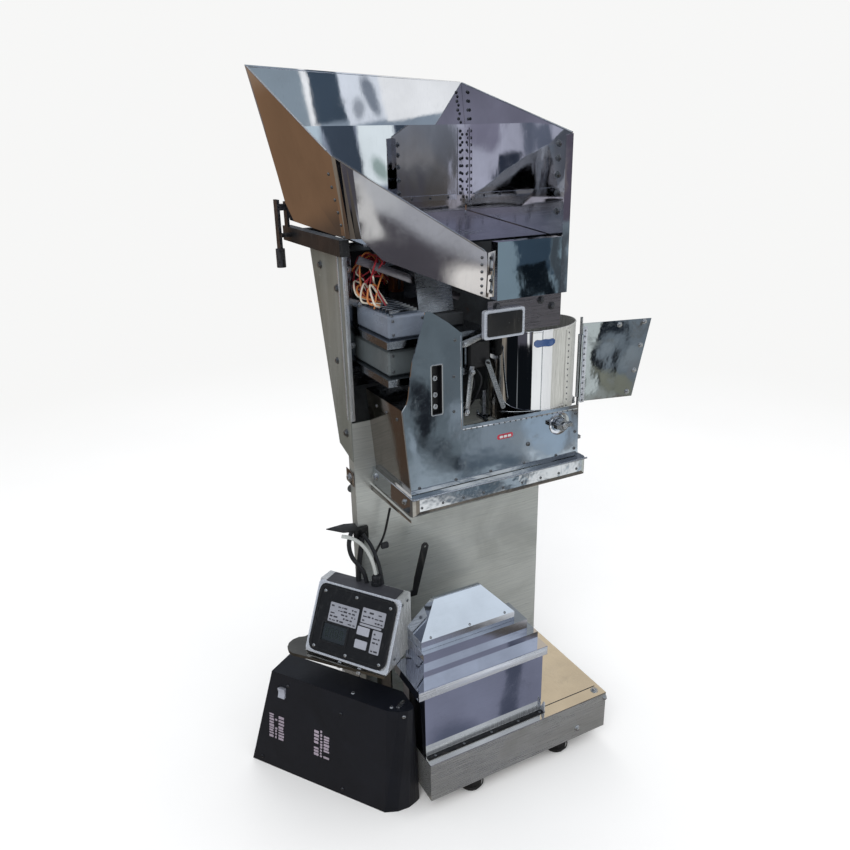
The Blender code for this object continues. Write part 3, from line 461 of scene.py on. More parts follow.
FOLD = (1.186, (0.0, -1.0, 0.0), (0.01, -0.9836, 0.18))
MIRROR_SHEETS = [
    # name, tint, roughness range, long wave slope and scale, ripple slope and scale,
    # smear, dirt, options
    ("hopper_back_sheet", "e6e9ee", (.006, .03), .005, 3.2, .0008, 40, .30, .08,
     {"facets": FOLD}),
    ("hopper_left_sheet", "d9d6d4", (.015, .07), .012, 4, .0012, 34, .5, .16, {}),
    ("hopper_right_sheet", "dadbe2", (.008, .05), .018, 7, .0018, 40, .5, .14, {}),
    ("pan_sheet", "dde3ee", (.12, .26), .012, 6, .0025, 40, .9, .30, {"axis": 0}),
    # the front plate's back face is painted near black: painted shade
    ("front_plate_sheet", "d2d7dc", (.02, .09), .022, 7, .0050, 30, .8, .16,
     {"dark_back": True}),
    ("tray_sheet", "dbe0e4", (.02, .08), .030, 8, .0120, 45, .8, .20, {"axis": 0}),
    ("left_wall_sheet", "b9b2ac", (.05, .15), .020, 7, .0050, 40, .8, .34, {}),
    # the drum's right side is made matt and painted pale, then grey: painted reflection
    ("bucket_sheet", "e6e9eb", (.005, .04), .005, 8, .0016, 50, .5, .05,
     {"dull": (0.1205, 0.1405)}),
    ("side_door_sheet", "bfc4c9", (.008, .04), .020, 8, .0035, 40, .6, .22, {}),
    ("chute_sheet", "ccd4dc", (.008, .04), .016, 9, .0030, 40, .6, .14, {}),
    ("plinth_sheet", "d3d6e0", (.010, .05), .006, 4, .0012, 34, .5, .10, {"axis": 0}),
    ("plinth_cap_sheet", "dfe5ee", (.04, .10), .005, 4, .0012, 34, .5, .08, {"axis": 0}),
    ("deck_sheet", "ece8df", (.06, .16), .005, 3, .0012, 34, .7, .16, {"axis": 1}),
    ("stand_sheet", "98948c", (.05, .16), .012, 7, .0040, 40, .7, .26, {}),
]
BRUSHED_SHEETS = [
    # name, dark, light, roughness range, grain axis, wave, stain, anisotropy, metallic
    ("housing_side_sheet", "767a74", "979b94", (.24, .40), 2, .012, .30, .3, .55),
    ("column_sheet", "adb2b0", "d2d5d0", (.26, .42), 0, .012, .26, .35, .72),
    ("base_ring_sheet", "a2a4a4", "d0d2d1", (.20, .38), 0, .012, .34, .35, .85),
    ("control_case_sheet", "b2b6ba", "eef0f2", (.16, .36), 2, .030, .34, .3, .55),
    ("bright_band_sheet", "b3bac8", "dfe4ec", (.16, .28), 0, .010, .10, .2, .55),
    ("bright_edge_sheet", "a9afb6", "d9dee4", (.16, .28), 2, .010, .16, .2, .7),
    ("under_plate_sheet", "757279", "98949b", (.20, .36), 0, .012, .32, .35, 1.0),
]
BRIGHT_PLATES = [
    # name, colour, roughness range, tool line axis, dirt
    ("plated_steel", "b4b8bc", (.16, .34), 0, .4),
    ("rear_cover_plate", "a0a39f", (.24, .40), 2, .25),
    ("shelf_plate", "8f969f", (.10, .24), 0, .45),
    ("screw_steel", "8f9296", (.22, .36), 0, .6),
    ("screw_dark_steel", "4b4c52", (.28, .44), 0, .5),
    ("screw_bright_steel", "e8ebee", (.16, .28), 0, .1),
]
MOULDINGS = [
    # name, colour, roughness range, grain scale, grain depth, dust, dust colour,
    # coat, specular, long wave
    ("case_top_grey", "3b3c42", (.30, .46), 620, .0001, .12, "8a8c92", .20, .45, .0006),
    ("cabinet_black", "14171f", (.34, .50), 620, .0001, .08, "3b3f49", .06, .35, .0004),
    ("panel_black", "0e1014", (.26, .42), 900, .0001, .14, "6b6d70", .25, .5, .0006),
    ("solenoid_black", "101114", (.34, .5), 700, .00015, .20),
    ("foot_rubber_mix", "1a1a1c", (.55, .75), 500, .0003, .35, "5f5c57"),
    ("pale_plastic", "c9ccce", (.30, .46), 800, .0001, .20, "77746d"),
    ("key_plastic", "9a9da8", (.30, .46), 800, .0001, .25, "5f6068"),
    ("cable_pale_sheath", "b4b8b6", (.34, .5), 600, .0001, .25, "6d6c66"),
    ("hose_black", "1d1f23", (.3, .5), 600, .0001, .20),
    ("wire_red", "8e1f2b", (.3, .45), 600, .0001, .25, "3a2a2a"),
    ("wire_orange", "c07a45", (.3, .45), 600, .0001, .25, "4a3a2a"),
    ("wire_pale", "c9c2b4", (.3, .45), 600, .0001, .25, "5a5650"),
    ("decal_grey", "9a8f9c", (.36, .52), 700, .00008, .15, "5b5661"),
    ("badge_red", "b3243c", (.28, .42), 800, .00008, .15, "e0c8cc", .4),
    ("panel_print_pale", "8d909a", (.34, .5), 700, .00008, .40, "4f5058"),
    ("panel_print_dark", "33343b", (.36, .5), 700, .00008, .2, "77787d"),
    ("display_segment", "26332f", (.3, .45), 700, .00005, .1, "55655c"),
    ("blue_film", "34507f", (.16, .3), 700, .00008, .15, "8fa3cf", .5),
]
ENAMELS = [
    # name, colour, roughness range, chip colour, chip strength
    ("driver_enamel", "6f7886", (.22, .40), "8c8f90", .5),
    ("supply_enamel", "565d60", (.24, .42), "8c8f90", .5),
    ("frame_enamel", "16171a", (.28, .46), "7c7f82", .55),
    ("bar_enamel", "121315", (.26, .42), "8a8c8e", .4),
]
for *values, options in MIRROR_SHEETS:
    mirror_sheet(*values, **options)
for maker, table in ((brushed_sheet, BRUSHED_SHEETS), (bright_plate, BRIGHT_PLATES),
                     (moulded, MOULDINGS), (painted, ENAMELS)):
    for values in table:
        maker(*values)
cast_iron("drive_iron", "5d6063")
cast_iron("core_iron", "4a4c50")
wound_wire("coil_copper")
pane("display_pane")

# material: the CAD nodes that wear it
FINISHES = {
    "plated_steel": "actuator_arm door_pin_left door_pin_right latch_knob leaf_spring_front "
                    "leaf_spring_rear load_cell side_door_pin",
    "base_ring_sheet": "base_skirt",
    "deck_sheet": "base_top_plate",
    "tray_sheet": "bottom_tray",
    "bucket_sheet": "bucket_door_left bucket_door_right weigh_bucket",
    "frame_enamel": "cabinet_back grip_cup hopper_frame",
    "cabinet_black": "cabinet_shell",
    "chute_sheet": "chute_cover",
    "screw_dark_steel": "clamp_lever",
    "column_sheet": "column_plate",
    "cable_pale_sheath": "controller_cable",
    "control_case_sheet": "controller_case",
    "panel_black": "controller_panel",
    "stand_sheet": "controller_stand",
    "shelf_plate": "cross_beam shelf_frame",
    "display_pane": "display_window",
    "solenoid_black": "door_solenoid",
    "drive_iron": "drive_base",
    "wire_red": "drive_wires",
    "driver_enamel": "driver_box",
    "pan_sheet": "feed_pan",
    "foot_rubber_mix": "foot_front_left foot_front_right foot_rear_left foot_rear_right",
    "front_plate_sheet": "front_plate",
    "bar_enamel": "hanger_bar",
    "hopper_right_sheet": "hopper_corner_angle hopper_right_panel",
    "hopper_left_sheet": "hopper_left_panel",
    "hopper_back_sheet": "hopper_rear_panel",
    "housing_side_sheet": "housing_left_side housing_right_side",
    "key_plastic": "key_set key_start power_rocker",
    "left_wall_sheet": "left_lower_wall",
    "coil_copper": "magnet_coil",
    "core_iron": "magnet_core transformer",
    "plinth_sheet": "plinth_box plinth_collar",
    "plinth_cap_sheet": "plinth_cap",
    "rear_cover_plate": "rear_cover",
    "side_door_sheet": "side_door",
    "bright_band_sheet": "slot_bracket",
    "supply_enamel": "supply_box",
    "under_plate_sheet": "under_plate",
}
for finish, names in FINISHES.items():
    for name in names.split():
        coats = NODES[name].data.materials
        for i in range(len(coats)):
            coats[i] = MATERIALS[finish]
        if not coats:
            coats.append(MATERIALS[finish])

# edge width: the CAD nodes whose edges are eased by it, so that they catch light
EDGE_WIDTHS = {
    0.0004: "side_door hopper_corner_angle latch_knob",
    0.0005: "front_plate hanger_bar shelf_frame",
    0.0006: "base_top_plate housing_left_side housing_right_side left_lower_wall chute_cover "
            "hopper_rear_panel hopper_right_panel slot_bracket controller_panel",
    0.0007: "bottom_tray plinth_collar under_plate",
    0.0008: "controller_stand plinth_box clamp_lever cabinet_back cross_beam power_rocker",
    0.0010: "plinth_cap door_solenoid",
    0.0012: "base_skirt hopper_frame driver_box supply_box magnet_core",
    0.0015: "transformer drive_base",
    0.0016: "column_plate",
    0.0018: "controller_case",
    0.0030: "cabinet_shell",
}
for width, names in EDGE_WIDTHS.items():
    for name in names.split():
        edge = NODES[name].modifiers.new("edge", "BEVEL")
        edge.width = width
        edge.segments = 2
        edge.limit_method = "ANGLE"
        edge.angle_limit = math.radians(34)
        edge.use_clamp_overlap = True

SLOTS = {
    "polished_stainless": "hopper_back_sheet hopper_left_sheet bucket_sheet plinth_cap_sheet "
                          "front_plate_sheet bright_band_sheet bright_edge_sheet "
                          "left_wall_sheet",
    "bright_steel": "plated_steel shelf_plate under_plate_sheet screw_steel screw_dark_steel "
                    "screw_bright_steel",
    "light_plastic": "badge_red pale_plastic panel_print_pale",
    "black_plastic": "solenoid_black hose_black panel_black panel_print_dark decal_grey "
                     "bar_enamel case_top_grey",
    "wire_sheath": "wire_red wire_orange wire_pale",
    "foot_rubber": "foot_rubber_mix",
    "cast_iron_grey": "drive_iron",
    "display_window": "display_segment",
    "blue_grey_paint": "blue_film",
}
SLOT_OF = {name: slot for slot, names in SLOTS.items() for name in names.split()}

# ------------------------------------------------------------------ mesh helpers

TREES = {}


def surface_tree(node):
    if node not in TREES:
        mesh = NODES[node].data
        TREES[node] = BVHTree.FromPolygons([vert.co.copy() for vert in mesh.vertices],
                                           [list(face.vertices) for face in mesh.polygons])
    return TREES[node]


def snap(node, point, face):
    """The point and normal of a CAD node under `point`, seen against the direction `face`."""
    outward = Vector(face).normalized()
    spot, normal, *_ = surface_tree(node).ray_cast(Vector(point) + outward * 0.02,
                                                   -outward, 0.06)
    if spot is None:
        return surface_tree(node).find_nearest(Vector(point))[0], outward
    return spot, normal if normal.dot(outward) > 0 else -normal


def piece(name, shape, material, body="machine", smooth=None):
    """An object from a bmesh or (verts, faces). smooth: sharp edge angle in degrees."""
    mesh = bpy.data.meshes.new(name)
    if isinstance(shape, bmesh.types.BMesh):
        shape.to_mesh(mesh)
        shape.free()
    else:
        mesh.from_pydata([tuple(vert) for vert in shape[0]], [], shape[1])
    mesh.validate()
    turned = bmesh.new()
    turned.from_mesh(mesh)
    bmesh.ops.recalc_face_normals(turned, faces=turned.faces)
    turned.to_mesh(mesh)
    turned.free()
    built = bpy.data.objects.new(name, mesh)
    bpy.context.scene.collection.objects.link(built)
    mesh.materials.append(MATERIALS[material])
    if smooth is not None:
        for face in mesh.polygons:
            face.use_smooth = True
        mesh.set_sharp_from_angle(angle=math.radians(smooth))
    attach(built, body)
    return built


def basis(normal, spin=0.0):
    """A turn that carries +Z on to the normal, after a spin about it."""
    normal = Vector(normal).normalized()
    guide = Vector(UP) if abs(normal.z) < 0.9 else Vector(RIGHT)
    x = guide.cross(normal).normalized()
    y = normal.cross(x)
    cos, sin = math.cos(spin), math.sin(spin)
    return Matrix((x * cos + y * sin, y * cos - x * sin, normal)).transposed()


def skin(faces, start, rows, sides):
    """Quads between closed rows of vertices."""
    for i in range(rows - 1):
        for k in range(sides):
            near = start + i * sides + k
            far = start + i * sides + (k + 1) % sides
            faces.append((near, far, far + sides, near + sides))


def ring_stack(shape, rings, sides, origin, turn=Matrix.Identity(3), looped=False):
    """Adds stacked rings of (radius or its function of angle, height) to (verts, faces).

    The ends are capped, or joined to each other when looped.
    """
    verts, faces = shape
    start = len(verts)
    for radius, height in rings:
        for k in range(sides):
            angle = 2 * math.pi * k / sides
            reach = radius(angle) if callable(radius) else radius
            spoke = Vector((reach * math.cos(angle), reach * math.sin(angle), height))
            verts.append(origin + turn @ spoke)
    skin(faces, start, len(rings), sides)
    last = start + (len(rings) - 1) * sides
    if looped:
        for k in range(sides):
            after = (k + 1) % sides
            faces.append((last + k, last + after, start + after, start + k))
        return shape
    verts.append(origin + turn @ Vector((0, 0, rings[-1][1])))
    faces += [(last + k, last + (k + 1) % sides, len(verts) - 1) for k in range(sides)]
    verts.append(origin + turn @ Vector((0, 0, rings[0][1])))
    faces += [(start + (k + 1) % sides, start + k, len(verts) - 1) for k in range(sides)]
    return shape


def hexagon(radius):
    sixth = math.pi / 6
    return lambda angle: (radius * math.cos(sixth)
                          / math.cos(((angle + sixth) % (math.pi / 3)) - sixth))


def cross(radius, width):
    def reach(angle):
        cos, sin = abs(math.cos(angle)), abs(math.sin(angle))
        big, small = max(cos, sin), min(cos, sin)
        if small <= 1e-6:
            return radius
        return min(radius / big, max(width / small, width * 1.35))
    return reach


# kind: sides, and rings of (radius, height, outline) as parts of the head's radius;
# a bare first ring of all but the last kind is sunk by HEAD_SINK
HEAD_SINK = 0.0004


def head_rings(kind, r):
    """Rings and side count of a screw head; r is its radius."""
    if kind == "pan":     # domed head with a cross recess
        return [(r, -HEAD_SINK), (r, r * 0.16), (r * 0.93, r * 0.34), (r * 0.76, r * 0.52),
                (r * 0.62, r * 0.60), (cross(r * 0.52, r * 0.13), r * 0.62),
                (cross(r * 0.44, r * 0.10), r * 0.22)], 24
    if kind == "hex":     # flanged hexagon head
        return [(r * 1.22, -HEAD_SINK), (r * 1.22, r * 0.14), (r * 1.16, r * 0.20),
                (hexagon(r * 0.98), r * 0.22), (hexagon(r * 0.98), r * 0.72),
                (hexagon(r * 0.86), r * 0.80), (r * 0.55, r * 0.82)], 24
    if kind == "socket":  # cap screw
        return [(r, -HEAD_SINK), (r, r * 0.92), (r * 0.93, r),
                (hexagon(r * 0.56), r), (hexagon(r * 0.54), r * 0.45)], 24
    return [(r, -0.0003), (r * 0.97, r * 0.22), (r * 0.84, r * 0.44), (r * 0.60, r * 0.60),
            (r * 0.30, r * 0.69)], 14


def spots(node, face, radius, points):
    """Places for heads: on a CAD node's surface, or exactly at the points if node is None."""
    return [(node, face, radius, point) for point in points]


def heads(name, kind, places, material="screw_steel", body="machine", washer=0.0):
    """Many screw heads as one piece. washer: its radius over the head's, or 0 for none."""
    shape = ([], [])
    for node, face, radius, point in places:
        if node:
            spot, normal = snap(node, point, face)
        else:
            spot, normal = Vector(point), Vector(face).normalized()
        turn = basis(normal, random.uniform(0, 1.5))
        if washer:
            rim = radius * washer
            ring_stack(shape, [(rim, -0.0004), (rim, 0.0007), (rim * 0.96, 0.0010)], 20,
                       spot, turn)
            spot = spot + normal * 0.0010
        rings, sides = head_rings(kind, radius)
        ring_stack(shape, rings, sides, spot, turn)
    piece(name, shape, material, body, smooth=38)


def line(start, end, count):
    return [Vector(start).lerp(Vector(end), i / (count - 1)) for i in range(count)]


def spline(points, steps):
    """Catmull-Rom curve through the points."""
    knots = [Vector(point) for point in points]
    knots = [knots[0] * 2 - knots[1]] + knots + [knots[-1] * 2 - knots[-2]]
    path = []
    for i in range(1, len(knots) - 2):
        before, here, after, beyond = knots[i - 1:i + 3]
        for k in range(steps):
            t = k / steps
            path.append(0.5 * ((2 * here) + (after - before) * t
                               + (2 * before - 5 * here + 4 * after - beyond) * t * t
                               + (3 * here - before - 3 * after + beyond) * t ** 3))
    path.append(knots[-2])
    return path


def tubes(name, runs, material, sides=12, steps=8):
    """Round rods or wires as one piece. runs: (points, radius)."""
    verts, faces = [], []
    for points, radius in runs:
        path = spline(points, steps)
        heading = (path[1] - path[0]).normalized()
        x = heading.cross(Vector(UP))
        if x.length < 1e-3:
            x = heading.cross(Vector(RIGHT))
        x.normalize()
        start = len(verts)
        count = len(path)
        for i, centre in enumerate(path):
            heading = (path[min(i + 1, count - 1)] - path[max(i - 1, 0)]).normalized()
            x = (x - heading * x.dot(heading)).normalized()
            y = heading.cross(x)
            for k in range(sides):
                angle = 2 * math.pi * k / sides
                verts.append(centre + (x * math.cos(angle) + y * math.sin(angle)) * radius)
        skin(faces, start, count, sides)
        faces.append(tuple(start + k for k in reversed(range(sides))))
        faces.append(tuple(start + (count - 1) * sides + k for k in range(sides)))
    return piece(name, (verts, faces), material, smooth=50)


def plate(outline, origin, across, upward, thick, bevel=EASE, holes=()):
    """A cut plate: outline in (across, upward), extruded along across x upward."""
    cut = bmesh.new()
    origin = Vector(origin)
    across, upward = Vector(across).normalized(), Vector(upward).normalized()
    normal = across.cross(upward).normalized()
    edges = []
    for loop in (outline, *holes):
        ring = [cut.verts.new(origin + across * x + upward * y) for x, y in loop]
        edges += [cut.edges.new((ring[i], ring[(i + 1) % len(ring)]))
                  for i in range(len(ring))]
    if holes:
        bmesh.ops.triangle_fill(cut, use_beauty=True, edges=edges, normal=normal)
    else:
        cut.faces.new(ring)
    extruded = bmesh.ops.extrude_face_region(cut, geom=list(cut.faces))["geom"]
    moved = [part for part in extruded if isinstance(part, bmesh.types.BMVert)]
    bmesh.ops.translate(cut, vec=normal * thick, verts=moved)
    bmesh.ops.recalc_face_normals(cut, faces=cut.faces)
    if bevel:
        sharp = [edge for edge in cut.edges
                 if len(edge.link_faces) == 2 and edge.calc_face_angle(0) > math.radians(30)]
        bmesh.ops.bevel(cut, geom=sharp, offset=bevel, segments=2, affect="EDGES",
                        clamp_overlap=True, profile=0.5)
    return cut


def plane_cutter(across, upward):
    def cut(outline, thick, bevel=EASE, holes=(), x=0, y=0, z=0):
        return plate(outline, (x, y, z), across, upward, thick, bevel, holes)
    return cut


facing = plane_cutter(RIGHT, UP)    # positive thickness grows to the front
lying = plane_cutter(RIGHT, BACK)   # upwards
sided = plane_cutter(BACK, UP)      # to the right


def plates(name, parts, material, body="machine"):
    """Several cut plates joined in one piece."""
    whole = bmesh.new()
    for part in parts:
        mesh = bpy.data.meshes.new("part")
        part.to_mesh(mesh)
        part.free()
        whole.from_mesh(mesh)
        bpy.data.meshes.remove(mesh)
    piece(name, whole, material, body, smooth=30)


def rounded(x0, y0, x1, y1, radius, steps=5):
    """Outline of a rectangle with rounded corners."""
    outline = []
    for x, y, first in ((x1 - radius, y0 + radius, -90), (x1 - radius, y1 - radius, 0),
                        (x0 + radius, y1 - radius, 90), (x0 + radius, y0 + radius, 180)):
        for k in range(steps + 1):
            angle = math.radians(first + 90 * k / steps)
            outline.append((x + radius * math.cos(angle), y + radius * math.sin(angle)))
    return outline


def circle(x, y, radius):
    angles = [2 * math.pi * k / 12 for k in range(12)]
    return [(x + radius * math.cos(angle), y + radius * math.sin(angle)) for angle in angles]


# ------------------------------------------------------------------ weigh bucket: an oval drum

DRUM_X, DRUM_Y = 0.136, -0.0815
DRUM_HALF_WIDTH, DRUM_HALF_DEPTH = 0.092, 0.0655
DRUM_BASE, DRUM_TOP = 0.695, 0.852
DRUM_BACK = DRUM_Y + DRUM_HALF_DEPTH


def drum_point(angle, offset=0.0):
    return Vector((DRUM_X + (DRUM_HALF_WIDTH + offset) * math.cos(angle),
                   DRUM_Y + (DRUM_HALF_DEPTH + offset) * math.sin(angle), 0))


def drum_wall(name, profile, arc=None, steps=96):
    """A band round the drum, or over an arc (start, end in degrees).

    profile: closed loop of (offset from the wall, height).
    """
    verts, faces = [], []
    first, last = (math.radians(end) for end in arc or (0, 360))
    size = len(profile)
    count = steps + 1 if arc else steps
    for k in range(count):
        angle = first + (last - first) * k / steps
        for offset, z in profile:
            point = drum_point(angle, offset)
            verts.append((point.x, point.y, z))
    for k in range(steps):
        after = (k + 1) % count
        for j in range(size):
            following = (j + 1) % size
            faces.append((k * size + j, after * size + j,
                          after * size + following, k * size + following))
    if arc:
        faces.append(tuple(range(size)))
        faces.append(tuple((count - 1) * size + j for j in reversed(range(size))))
    return piece(name, (verts, faces), "bucket_sheet", smooth=40)


drum = drum_wall("bucket_wall", [
    (0.0, DRUM_BASE), (0.0, DRUM_TOP - 0.0034), (0.0006, DRUM_TOP - 0.0026),
    (0.0006, DRUM_TOP - 0.0006), (0.0, DRUM_TOP), (-0.0012, DRUM_TOP),
    (-0.0018, DRUM_TOP - 0.0008), (-0.0016, DRUM_TOP - 0.003), (-0.0014, DRUM_BASE)])
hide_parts("weigh_bucket")

# the lug that bolts the drum to the load cell
LUG_SCREWS_X = (-0.012, 0.012)
plates("bucket_lug", [
    facing(rounded(-0.020, 0, 0.020, 0.052, 0.004), x=DRUM_X, y=DRUM_BACK - 0.0006, z=0.757,
           thick=-0.0032, bevel=0.0005, holes=[circle(x, 0.040, 0.0026) for x in LUG_SCREWS_X]),
    lying(rounded(-0.012, 0, 0.012, 0.018, 0.003), x=DRUM_X, y=DRUM_BACK + 0.0008, z=0.7965,
          thick=0.0026, bevel=0.0004)], "plated_steel")
heads("bucket_lug_screws", "socket", spots(None, BACK, 0.0030, [
    (DRUM_X + x, DRUM_BACK + 0.0026, 0.797) for x in LUG_SCREWS_X]))

# doubled seam with rivets, and a bead pressed round the drum
SEAM_ARC = (-66, -55)
drum_wall("bucket_seam", [(0.0002, DRUM_BASE + 0.004), (0.0002, DRUM_TOP - 0.006),
                          (0.0010, DRUM_TOP - 0.0066), (0.0010, DRUM_BASE + 0.0046)],
          SEAM_ARC, steps=8)
heads("bucket_seam_rivets", "rivet", spots(None, (0.6, -0.8, 0), 0.0017, [
    drum_point(math.radians(sum(SEAM_ARC) / 2), 0.0010)
    + Vector((0, 0, DRUM_BASE + 0.010 + RIVET_PITCH * k)) for k in range(13)]))
drum_wall("bucket_bead", [(0.0, 0.7060), (0.0009, 0.7067), (0.0012, 0.7078),
                          (0.0009, 0.7089), (0.0, 0.7096), (-0.0004, 0.7078)])

# blue film on the drum's front, its ends rounded off
FILM_COLUMNS = 13
FILM_BASE, FILM_TOP = 0.8235, 0.8360
verts, faces = [], []
for k in range(FILM_COLUMNS):
    angle = math.radians(-110 + 26 * k / (FILM_COLUMNS - 1))
    from_end = min(k, FILM_COLUMNS - 1 - k)
    inset = 0.0035 * max(0.0, 1 - from_end / 2.0) ** 2
    top = FILM_TOP - inset + 0.0006 * math.sin(k * 1.3)
    bottom = FILM_BASE + inset - 0.0006 * math.sin(k * 0.9)
    for offset in (0.0003, 0.0007):
        point = drum_point(angle, offset)
        verts += [(point.x, point.y, bottom), (point.x, point.y, top)]
for k in range(FILM_COLUMNS - 1):
    near, far = k * 4, k * 4 + 4
    faces += [(near + 2, far + 2, far + 3, near + 3), (near, near + 1, far + 1, far),
              (near + 1, near + 3, far + 3, far + 1), (near, far, far + 2, near + 2)]
last = (FILM_COLUMNS - 1) * 4
faces += [(0, 2, 3, 1), (last, last + 1, last + 3, last + 2)]
piece("bucket_film", (verts, faces), "blue_film", smooth=60)

# ------------------------------------------------------------------ hopper

tubes("hopper_hem", [
    ([(-0.2540, 0.1925, 1.2800), (-0.2225, -0.0700, 1.1480)], 0.0014),
    ([(-0.2205, -0.0852, 1.1412), (0.0000, -0.1500, 0.9955)], 0.0013),
    ([(-0.2530, 0.1935, 1.2815), (0.1595, 0.1972, 1.2606)], 0.0013),
    ([(0.1617, 0.1950, 1.2600), (0.1617, -0.1490, 1.1668)], 0.0013)],
    "hopper_back_sheet", sides=10, steps=2)
heads("hopper_seam_screws_left", "pan",
      spots("hopper_corner_angle", FRONT, 0.0031,
            line((0.1492, 0.180, 1.047), (0.1492, 0.180, 1.174), 11))
      + spots("hopper_rear_panel", (0, -1, 0.16), 0.0031,
              line((0.1480, 0.183, 1.196), (0.1480, 0.192, 1.243), 4)), "screw_dark_steel")
heads("hopper_seam_screws_right", "pan",
      spots("hopper_corner_angle", LEFT, 0.0029,
            line((0.160, 0.1715, 1.052), (0.160, 0.1715, 1.168), 9))
      + spots("hopper_right_panel", LEFT, 0.0029,
              line((0.161, 0.1700, 1.195), (0.161, 0.1745, 1.243), 4)), "screw_dark_steel")
heads("hopper_flange_bolts", "hex", spots("hopper_right_panel", LEFT, 0.0040, [
    (0.1607, -0.117, z) for z in (1.150, 1.128, 1.102, 1.073, 1.044)]), washer=1.5)
heads("hopper_rear_stiffener_bolts", "hex", spots("hopper_rear_panel", BACK, 0.0038, [
    (x, 0.20, z) for x in (-0.13, -0.05, 0.05, 0.13) for z in (1.06, 1.16)]), washer=1.5)
heads("hopper_left_rivets", "rivet", spots("hopper_left_panel", (-1, 0, -0.2), 0.0026, line(
    (-0.2150, -0.055, 1.115), (-0.196, -0.050, 1.02), 6)))
heads("hopper_nose_rivets", "rivet", spots("hopper_left_panel", (-0.3, -0.95, 0), 0.0026, line(
    (-0.004, -0.150, 0.985), (-0.004, -0.150, 0.929), 6)))
plates("hopper_nose_strap", [
    plate([(0, 0), (0.013, 0), (0.015, 0.073), (0.002, 0.070)], (0.0035, -0.1512, 0.922),
          (0.955, -0.06, 0), UP, thick=-0.0016, bevel=0.0004)], "hopper_left_sheet")
heads("hopper_nose_strap_screws", "pan", spots(None, FRONT, 0.0026, [
    (0.0105, -0.1533, z) for z in (0.931, 0.948, 0.966, 0.984)]), "screw_dark_steel")

# curtain at the back of the feed pan; its lower edge follows the pan
CURTAIN_STEPS, CURTAIN_TOP = 24, 1.056
curtain_foot = []
for i in range(CURTAIN_STEPS + 1):
    x = -0.150 + 0.3095 * i / CURTAIN_STEPS
    probe = Vector((min(x, 0.1540), 0.1745, 1.2))
    hit = surface_tree("feed_pan").ray_cast(probe, Vector((0, 0, -1)), 0.4)[0]
    curtain_foot.append((x, (hit.z if hit else 0.955) - 0.004))
curtain_head = [(x, CURTAIN_TOP) for x, z in reversed(curtain_foot)]
plates("hopper_rear_curtain", [facing(curtain_foot + curtain_head, y=0.1800, thick=0.0016,
                                      bevel=0)], "hopper_left_sheet")
plates("hopper_curtain_strip", [facing(rounded(-0.148, 0, 0.140, 0.010, 0.001),
                                       y=0.1784, z=1.048, thick=0.0010)],
       "hopper_back_sheet")
heads("hopper_curtain_screws", "pan", spots(None, FRONT, 0.0026, [
    (x, 0.1775, 1.053) for x in (-0.12, -0.08, -0.04, 0.0, 0.04, 0.08, 0.12)]),
    "screw_dark_steel")

# ------------------------------------------------------------------ head: front

heads("window_sill_rivets", "rivet", spots("front_plate", FRONT, 0.0017, [
    (-0.036 + RIVET_PITCH * k, PLATE_Y, 0.7035 - 0.024 * RIVET_PITCH * k)
    for k in range(21)]))
heads("under_plate_bolts", "hex", spots("under_plate", FRONT, 0.0046, [
    (x, -0.140, z) for x, z in ((0.1405, 0.8915), (0.1180, 0.9035), (0.0300, 0.9020))]),
    "screw_dark_steel", washer=1.5)
heads("front_plate_rivet", "pan",
      spots("front_plate", FRONT, 0.0042, [(0.0924, PLATE_Y, 0.6514)]))
heads("front_plate_edge_screws", "pan",
      spots("front_plate", FRONT, 0.0030, [(0.196, PLATE_Y, z) for z in (0.690, 0.655, 0.622)])
      + spots("front_plate", FRONT, 0.0028, [
          (x, PLATE_Y, 0.6165) for x in (-0.125, -0.055, 0.015, 0.085, 0.155)])
      + spots("front_plate", FRONT, 0.0026, [
          (x, PLATE_Y, z) for x, z in ((-0.055, 0.86), (-0.058, 0.80), (-0.058, 0.74))]))
plates("window_frame", [
    facing(outline, y=-0.1512, thick=-0.0008, bevel=0.0002) for outline in (
        [(-0.0415, 0.7035), (0.199, 0.6975), (0.199, 0.7000), (-0.0415, 0.7062)],
        [(-0.0445, 0.706), (-0.0425, 0.706), (-0.0440, 0.866), (-0.0460, 0.866)])],
    "plinth_cap_sheet")

BADGE_X, BADGE_Z = 0.0435, 0.6765
plates("badge", [facing(rounded(-0.0165, -0.0048, 0.0165, 0.0048, 0.0044, 6),
                        x=BADGE_X, y=-0.1511, z=BADGE_Z, thick=-0.0009)], "badge_red")
plates("badge_marks", [
    facing(rounded(left, -0.0022, left + 0.0068, 0.0022, 0.0012),
           x=BADGE_X, y=-0.1521, z=BADGE_Z, thick=-0.0003, bevel=0)
    for left in (-0.0118, -0.0034, 0.0050)], "pale_plastic")

# ring round the latch knob, and a disc on its front
knob_low, knob_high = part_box("latch_knob")
knob_centre = (knob_low + knob_high) / 2
piece("knob_rose", ring_stack(([], []), [
    (0.0215, -0.0002), (0.0215, 0.0008), (0.0205, 0.0012), (0.0120, 0.0012),
    (0.0120, -0.0002)], 40, Vector((knob_centre.x, -0.1511, knob_centre.z)), basis(FRONT),
    looped=True), "plinth_cap_sheet", smooth=35)
piece("knob_cap", ring_stack(([], []), [
    (0.0060, -0.0002), (0.0060, 0.0010), (0.0052, 0.0016), (0.0048, 0.0016),
    (0.0040, 0.0006)], 24, Vector((knob_centre.x, knob_low.y, knob_centre.z)), basis(FRONT)),
    "screw_bright_steel", "knob", smooth=35)

# grip hole: raised lip and three studs behind it
plates("grip_lip", [facing(rounded(-0.1003, 0.7385, -0.0777, 0.8255, 0.003), y=-0.1511,
                           thick=-0.0011,
                           holes=[rounded(-0.0982, 0.7406, -0.0798, 0.8234, 0.002)])],
       "front_plate_sheet")
heads("grip_studs", "socket", spots(None, FRONT, 0.0046, [
    (-0.089, -0.1398, z) for z in (0.800, 0.772, 0.752)]), "screw_bright_steel")

